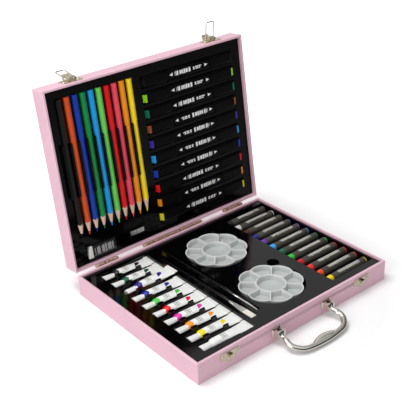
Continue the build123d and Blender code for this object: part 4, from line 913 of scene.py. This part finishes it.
HINGE_NODES = ("hinge_base_leaves", "hinge_lid_leaves", "hinge_pins", "hinge_base_screws", "hinge_lid_screws")
NICKEL_NODES = (
    "latch_plates",
    "latch_rivets",
    "catch_plates",
    "catch_rivets",
    "left_latch_lever",
    "right_latch_lever",
)
CHROME_NODES = ("handle", "left_latch_loop", "right_latch_loop")
PENCIL_ORDER = ("black", "orange", "blue", "green", "sky", "lime", "red", "coral", "amber", "yellow")
MARKER_ORDER = ("black", "lime", "green", "brown", "violet", "sky", "blue", "red", "orange", "yellow")
TURNED_MARKERS = ("brown", "violet", "sky", "blue", "orange")
TUBE_ORDER = ("black", "green", "violet", "blue", "lime", "red", "magenta", "orange", "yellow", "white")


class ARTSET_OT_lid_things(Operator):
    """Finish the pencils, markers, eraser and sharpener in the lid"""

    bl_idname = "artset.lid_things"
    bl_label = "Things in the lid"

    def execute(self, context):
        for index, name in enumerate(PENCIL_ORDER):
            lacquer = getattr(context.scene.art_pencils, name)
            x = PENCIL_FIRST_X + PENCIL_PITCH * index
            dress(f"pencil_{name}", pencil_finish(f"pencil_lacquer_{name}", lacquer, x))
        for index, name in enumerate(MARKER_ORDER):
            plug = getattr(context.scene.art_markers, name)
            y = MARKER_FIRST_Y + MARKER_PITCH * index
            finish = marker_finish(f"marker_satin_{name}", plug, y, name in TURNED_MARKERS)
            dress(f"marker_{name}", finish, ROUNDING["marker"])
        dress("eraser", eraser_finish("eraser_and_sleeve"), ROUNDING["eraser"])
        dress("sharpener", sharpener_finish("sharpener_metal"), ROUNDING["sharpener"])
        return {"FINISHED"}


class ARTSET_OT_base_things(Operator):
    """Finish the paint tubes, pastels, palettes and brush handles in the base"""

    bl_idname = "artset.base_things"
    bl_label = "Things in the base"

    def execute(self, context):
        for index, name in enumerate(TUBE_ORDER):
            paint = getattr(context.scene.art_tubes, name)
            origin = Vector((TUBE_X, (TUBE_FIRST_Y - TUBE_PITCH * index) * MM, TUBE_Z))
            turn = (0, 0, 0)
            if name == "violet":
                origin += Vector(VIOLET_SHIFT)
                turn = (0, -math.atan2(VIOLET_RISE, TUBE_LENGTH), math.atan2(VIOLET_ASKEW, TUBE_LENGTH))
            finish = tube_finish(f"tube_{name}_print", paint, origin, turn)
            dress(f"tube_{name}", finish, ROUNDING["tube"])
        dress("oil_pastels", pastel_finish("oil_pastel"), ROUNDING["pastel"])
        for side in ("back", "front"):
            finish = palette_finish(f"{side}_palette_plastic", PALETTE_Z)
            dress(f"{side}_palette", finish, ROUNDING["palette"])
        dress("flat_brush", brush_finish("flat_brush_lacquer", FLAT_FERRULE_END))
        dress("round_brush", brush_finish("round_brush_lacquer", ROUND_FERRULE_END))
        return {"FINISHED"}


def tuft(name, node_name, body, material, root, hairs, waist):
    """Hairs joined to one tuft on the ferrule's mouth, with a core that closes it behind them."""
    width, thick, long = waist
    clear_selection()
    bpy.ops.mesh.primitive_cylinder_add(vertices=24, radius=0.5, depth=1)
    core = bpy.context.object
    core.rotation_euler = (math.pi / 2, 0, 0)
    bpy.ops.object.transform_apply(location=True, rotation=True, scale=True)
    core.scale = (width, long, thick)
    core.location = (root[0], root[1] + CORE_IN_FERRULE - long / 2, root[2])
    bpy.ops.object.transform_apply(location=True, rotation=True, scale=True)
    bpy.ops.object.mode_set(mode="EDIT")
    bpy.ops.mesh.select_all(action="SELECT")
    bpy.ops.mesh.subdivide(number_cuts=1)
    bpy.ops.object.mode_set(mode="OBJECT")
    for hair in hairs:
        hair.select_set(True)
    core.select_set(True)
    bpy.context.view_layer.objects.active = core
    bpy.ops.object.join()
    settle(core, name, body, material)
    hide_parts(node_name)
    return core


class ARTSET_OT_bristles(Operator):
    """Make both brushes' tufts hair by hair"""

    bl_idname = "artset.bristles"
    bl_label = "Brush bristles"

    def execute(self, context):
        rows = context.scene.art_base.strands
        material = bristle_finish("pale_bristle")
        root = FLAT_ROOT
        hairs = []
        for row in range(rows):
            for column in range(FLAT_COLUMNS):
                across = (column / (FLAT_COLUMNS - 1) - 0.5) * FLAT_WIDTH
                deep = (row / (rows - 1) - 0.5) * FLAT_THICK
                wobble = math.sin(column * 2.7 + row * 5.1)
                x = root[0] + across + wobble * SIDE_WOBBLE
                hairs.append((x, root[2] + deep, FLAT_LONG + wobble * LENGTH_WOBBLE))
        made = self.grow(root, hairs, FLAT_HAIR, 0.7)
        waist = (FLAT_WIDTH, FLAT_THICK, FLAT_CORE_LONG)
        tuft("flat_brush_tuft", "flat_brush_bristles", "flat_brush_out", material, root, made, waist)
        root = ROUND_ROOT
        hairs = []
        last_ring = ROUND_RINGS - 1
        for ring in range(ROUND_RINGS):
            spokes = max(1, HAIRS_ADDED_PER_RING * ring)
            for spoke in range(spokes):
                turn = 2 * math.pi * spoke / spokes
                out = ROUND_RADIUS * ring / last_ring
                long = ROUND_LONG - ROUND_DOME * (ring / last_ring) ** 2
                hairs.append((root[0] + out * math.cos(turn), root[2] + out * math.sin(turn), long))
        made = self.grow(root, hairs, ROUND_HAIR, 0.6, draw=ROUND_DRAW)
        tuft("round_brush_tuft", "round_brush_bristles", "round_brush_out", material, root, made, ROUND_CORE)
        return {"FINISHED"}

    def grow(self, root, hairs, radius, point, draw=1.0):
        """Copies of one thin tapered hair at the given places, leaning toward the point."""
        clear_selection()
        bpy.ops.mesh.primitive_cone_add(vertices=4, radius1=radius, radius2=radius * point, depth=1)
        first = bpy.context.object
        made = []
        for x, z, long in hairs:
            lean = (1 - draw) * min(1, long / FULL_LEAN_LENGTH)
            start = Vector((x, root[1], z))
            tip = Vector((x + (root[0] - x) * lean, root[1] - long, z + (root[2] - z) * lean))
            hair = first.copy()
            hair.data = first.data.copy()
            bpy.context.collection.objects.link(hair)
            hair.location = (start + tip) / 2
            hair.rotation_euler = (tip - start).to_track_quat("Z", "Y").to_euler()
            hair.scale = (1, 1, (tip - start).length)
            made.append(hair)
        bpy.data.objects.remove(first)
        return made


class ARTSET_OT_stage(Operator):
    """Set the camera, the floor and the lights"""

    bl_idname = "artset.stage"
    bl_label = "Camera, floor and lights"

    def execute(self, context):
        settings = context.scene.art_stage
        clear_selection()
        bpy.ops.object.camera_add(location=CAMERA_PLACE)
        camera = context.object
        camera.name = "photo_camera"
        camera.rotation_euler = [math.radians(angle) for angle in CAMERA_TURN]
        camera.data.lens = settings.lens
        camera.data.sensor_width = CAMERA_SENSOR
        camera.data.clip_start = CAMERA_NEAR
        context.scene.camera = camera
        bpy.ops.mesh.primitive_plane_add(size=FLOOR_SIZE, location=(0, 0, FLOOR_LEVEL))
        floor = context.object
        floor.name = "floor"
        floor.data.materials.append(self.floor_finish(settings.floor))
        self.light("key_light", *KEY_LIGHT, settings.key)
        self.light("side_light", *SIDE_LIGHT, settings.fill)
        self.sky(context)
        context.scene.view_settings.view_transform = "Standard"
        return {"FINISHED"}

    def light(self, name, place, target, size, power):
        """A square soft light that looks at a point."""
        bpy.ops.object.light_add(type="AREA", location=place)
        lamp = bpy.context.object
        lamp.name = name
        lamp.rotation_euler = (Vector(target) - Vector(place)).to_track_quat("-Z", "Y").to_euler()
        lamp.data.shape = "SQUARE"
        lamp.data.size = size
        lamp.data.energy = power

    def floor_finish(self, tint):
        """A pale floor that keeps shadows and reads as white where it is lit."""
        made = Finish("pale_floor", Roughness=0.9)
        tree = made.tree
        shade = made.grain(60.0, 4.0)[1]
        light = tree.nodes.new("ShaderNodeLightPath")
        seen = sum_up(tree, "MAXIMUM", light.outputs["Is Camera Ray"], light.outputs["Is Transmission Ray"])
        made.shader.inputs["Emission Color"].default_value = (1, 1, 1, 1)
        reach = put(tree, "ShaderNodeVectorMath", made.vector, operation="LENGTH").outputs["Value"]
        far = put(tree, "ShaderNodeMapRange", reach, 0.19, 0.4, 0.03, 0.6).outputs[0]
        join(tree, sum_up(tree, "MULTIPLY", seen, far), made.shader.inputs["Emission Strength"])
        plain = made.tinted(tint, shade, 0.01)
        made.set(Base_Color=blend_colour(tree, light.outputs["Is Glossy Ray"], plain, (0.6, 0.6, 0.6)))
        return made.material

    def sky(self, context):
        """Even light all round; the camera sees white, and metal a bright back, top and left side."""
        world = bpy.data.worlds.new("studio")
        context.scene.world = world
        world.use_nodes = True
        tree = world.node_tree
        back = next(item for item in tree.nodes if item.type == "BACKGROUND")
        light = tree.nodes.new("ShaderNodeLightPath")
        white = sum_up(tree, "MAXIMUM", light.outputs["Is Camera Ray"], light.outputs["Is Transmission Ray"])
        back.inputs["Color"].default_value = (1, 1, 1, 1)
        towards = put(tree, "ShaderNodeTexCoord").outputs["Generated"]
        x, y, z = put(tree, "ShaderNodeSeparateXYZ", towards).outputs
        behind = put(tree, "ShaderNodeMapRange", y, 0.0, 0.5, 0.05, 0.62).outputs[0]
        above = put(tree, "ShaderNodeMapRange", z, 0.7, 0.9, 0.0, 0.8).outputs[0]
        left = put(tree, "ShaderNodeMapRange", x, -0.7, -0.9, 0.0, 0.7).outputs[0]
        mirrored = sum_up(tree, "MAXIMUM", behind, sum_up(tree, "MAXIMUM", above, left))
        strength = self.pick(tree, light.outputs["Is Glossy Ray"], EVEN_LIGHT, mirrored)
        join(tree, self.pick(tree, white, strength, 1.0), back.inputs["Strength"])

    def pick(self, tree, share, first, second):
        """One of two values by a share of 0 or 1."""
        mixed = tree.nodes.new("ShaderNodeMix")
        for value, place in zip((share, first, second), (0, *MIX_VALUES)):
            join(tree, value, mixed.inputs[place])
        return mixed.outputs[0]


class ARTSET_PT_panel(Panel):
    """Buttons that build the art set case"""

    bl_label = "Art set case"
    bl_idname = "ARTSET_PT_panel"
    bl_space_type = "VIEW_3D"
    bl_region_type = "UI"
    bl_category = "Art set"

    def draw(self, context):
        for operator in OPERATORS:
            self.layout.operator(operator.bl_idname)
        for group in SETTINGS:
            box = self.layout.box()
            settings = getattr(context.scene, group)
            for name in settings.__annotations__:
                box.prop(settings, name)


SETTINGS = {
    "art_case": ArtCaseSettings,
    "art_pencils": ArtPencilSettings,
    "art_markers": ArtMarkerSettings,
    "art_tubes": ArtTubeSettings,
    "art_base": ArtBaseSettings,
    "art_stage": ArtStageSettings,
}
OPERATORS = (
    ARTSET_OT_stage,
    ARTSET_OT_case,
    ARTSET_OT_metalwork,
    ARTSET_OT_lid_things,
    ARTSET_OT_base_things,
    ARTSET_OT_bristles,
)


def register():
    """Adds the settings, operators and panel."""
    for group in SETTINGS.values():
        bpy.utils.register_class(group)
    for operator in OPERATORS:
        bpy.utils.register_class(operator)
    bpy.utils.register_class(ARTSET_PT_panel)
    for name, group in SETTINGS.items():
        setattr(bpy.types.Scene, name, PointerProperty(type=group))


def unregister():
    """Takes them away again."""
    for name in SETTINGS:
        delattr(bpy.types.Scene, name)
    bpy.utils.unregister_class(ARTSET_PT_panel)
    for operator in reversed(OPERATORS):
        bpy.utils.unregister_class(operator)
    for group in reversed(SETTINGS.values()):
        bpy.utils.unregister_class(group)


def main():
    """Builds everything in order."""
    register()
    bpy.ops.artset.stage()
    bpy.ops.artset.case()
    bpy.ops.artset.metalwork()
    bpy.ops.artset.lid_things()
    bpy.ops.artset.base_things()
    bpy.ops.artset.bristles()


if __name__ == "__main__":
    main()
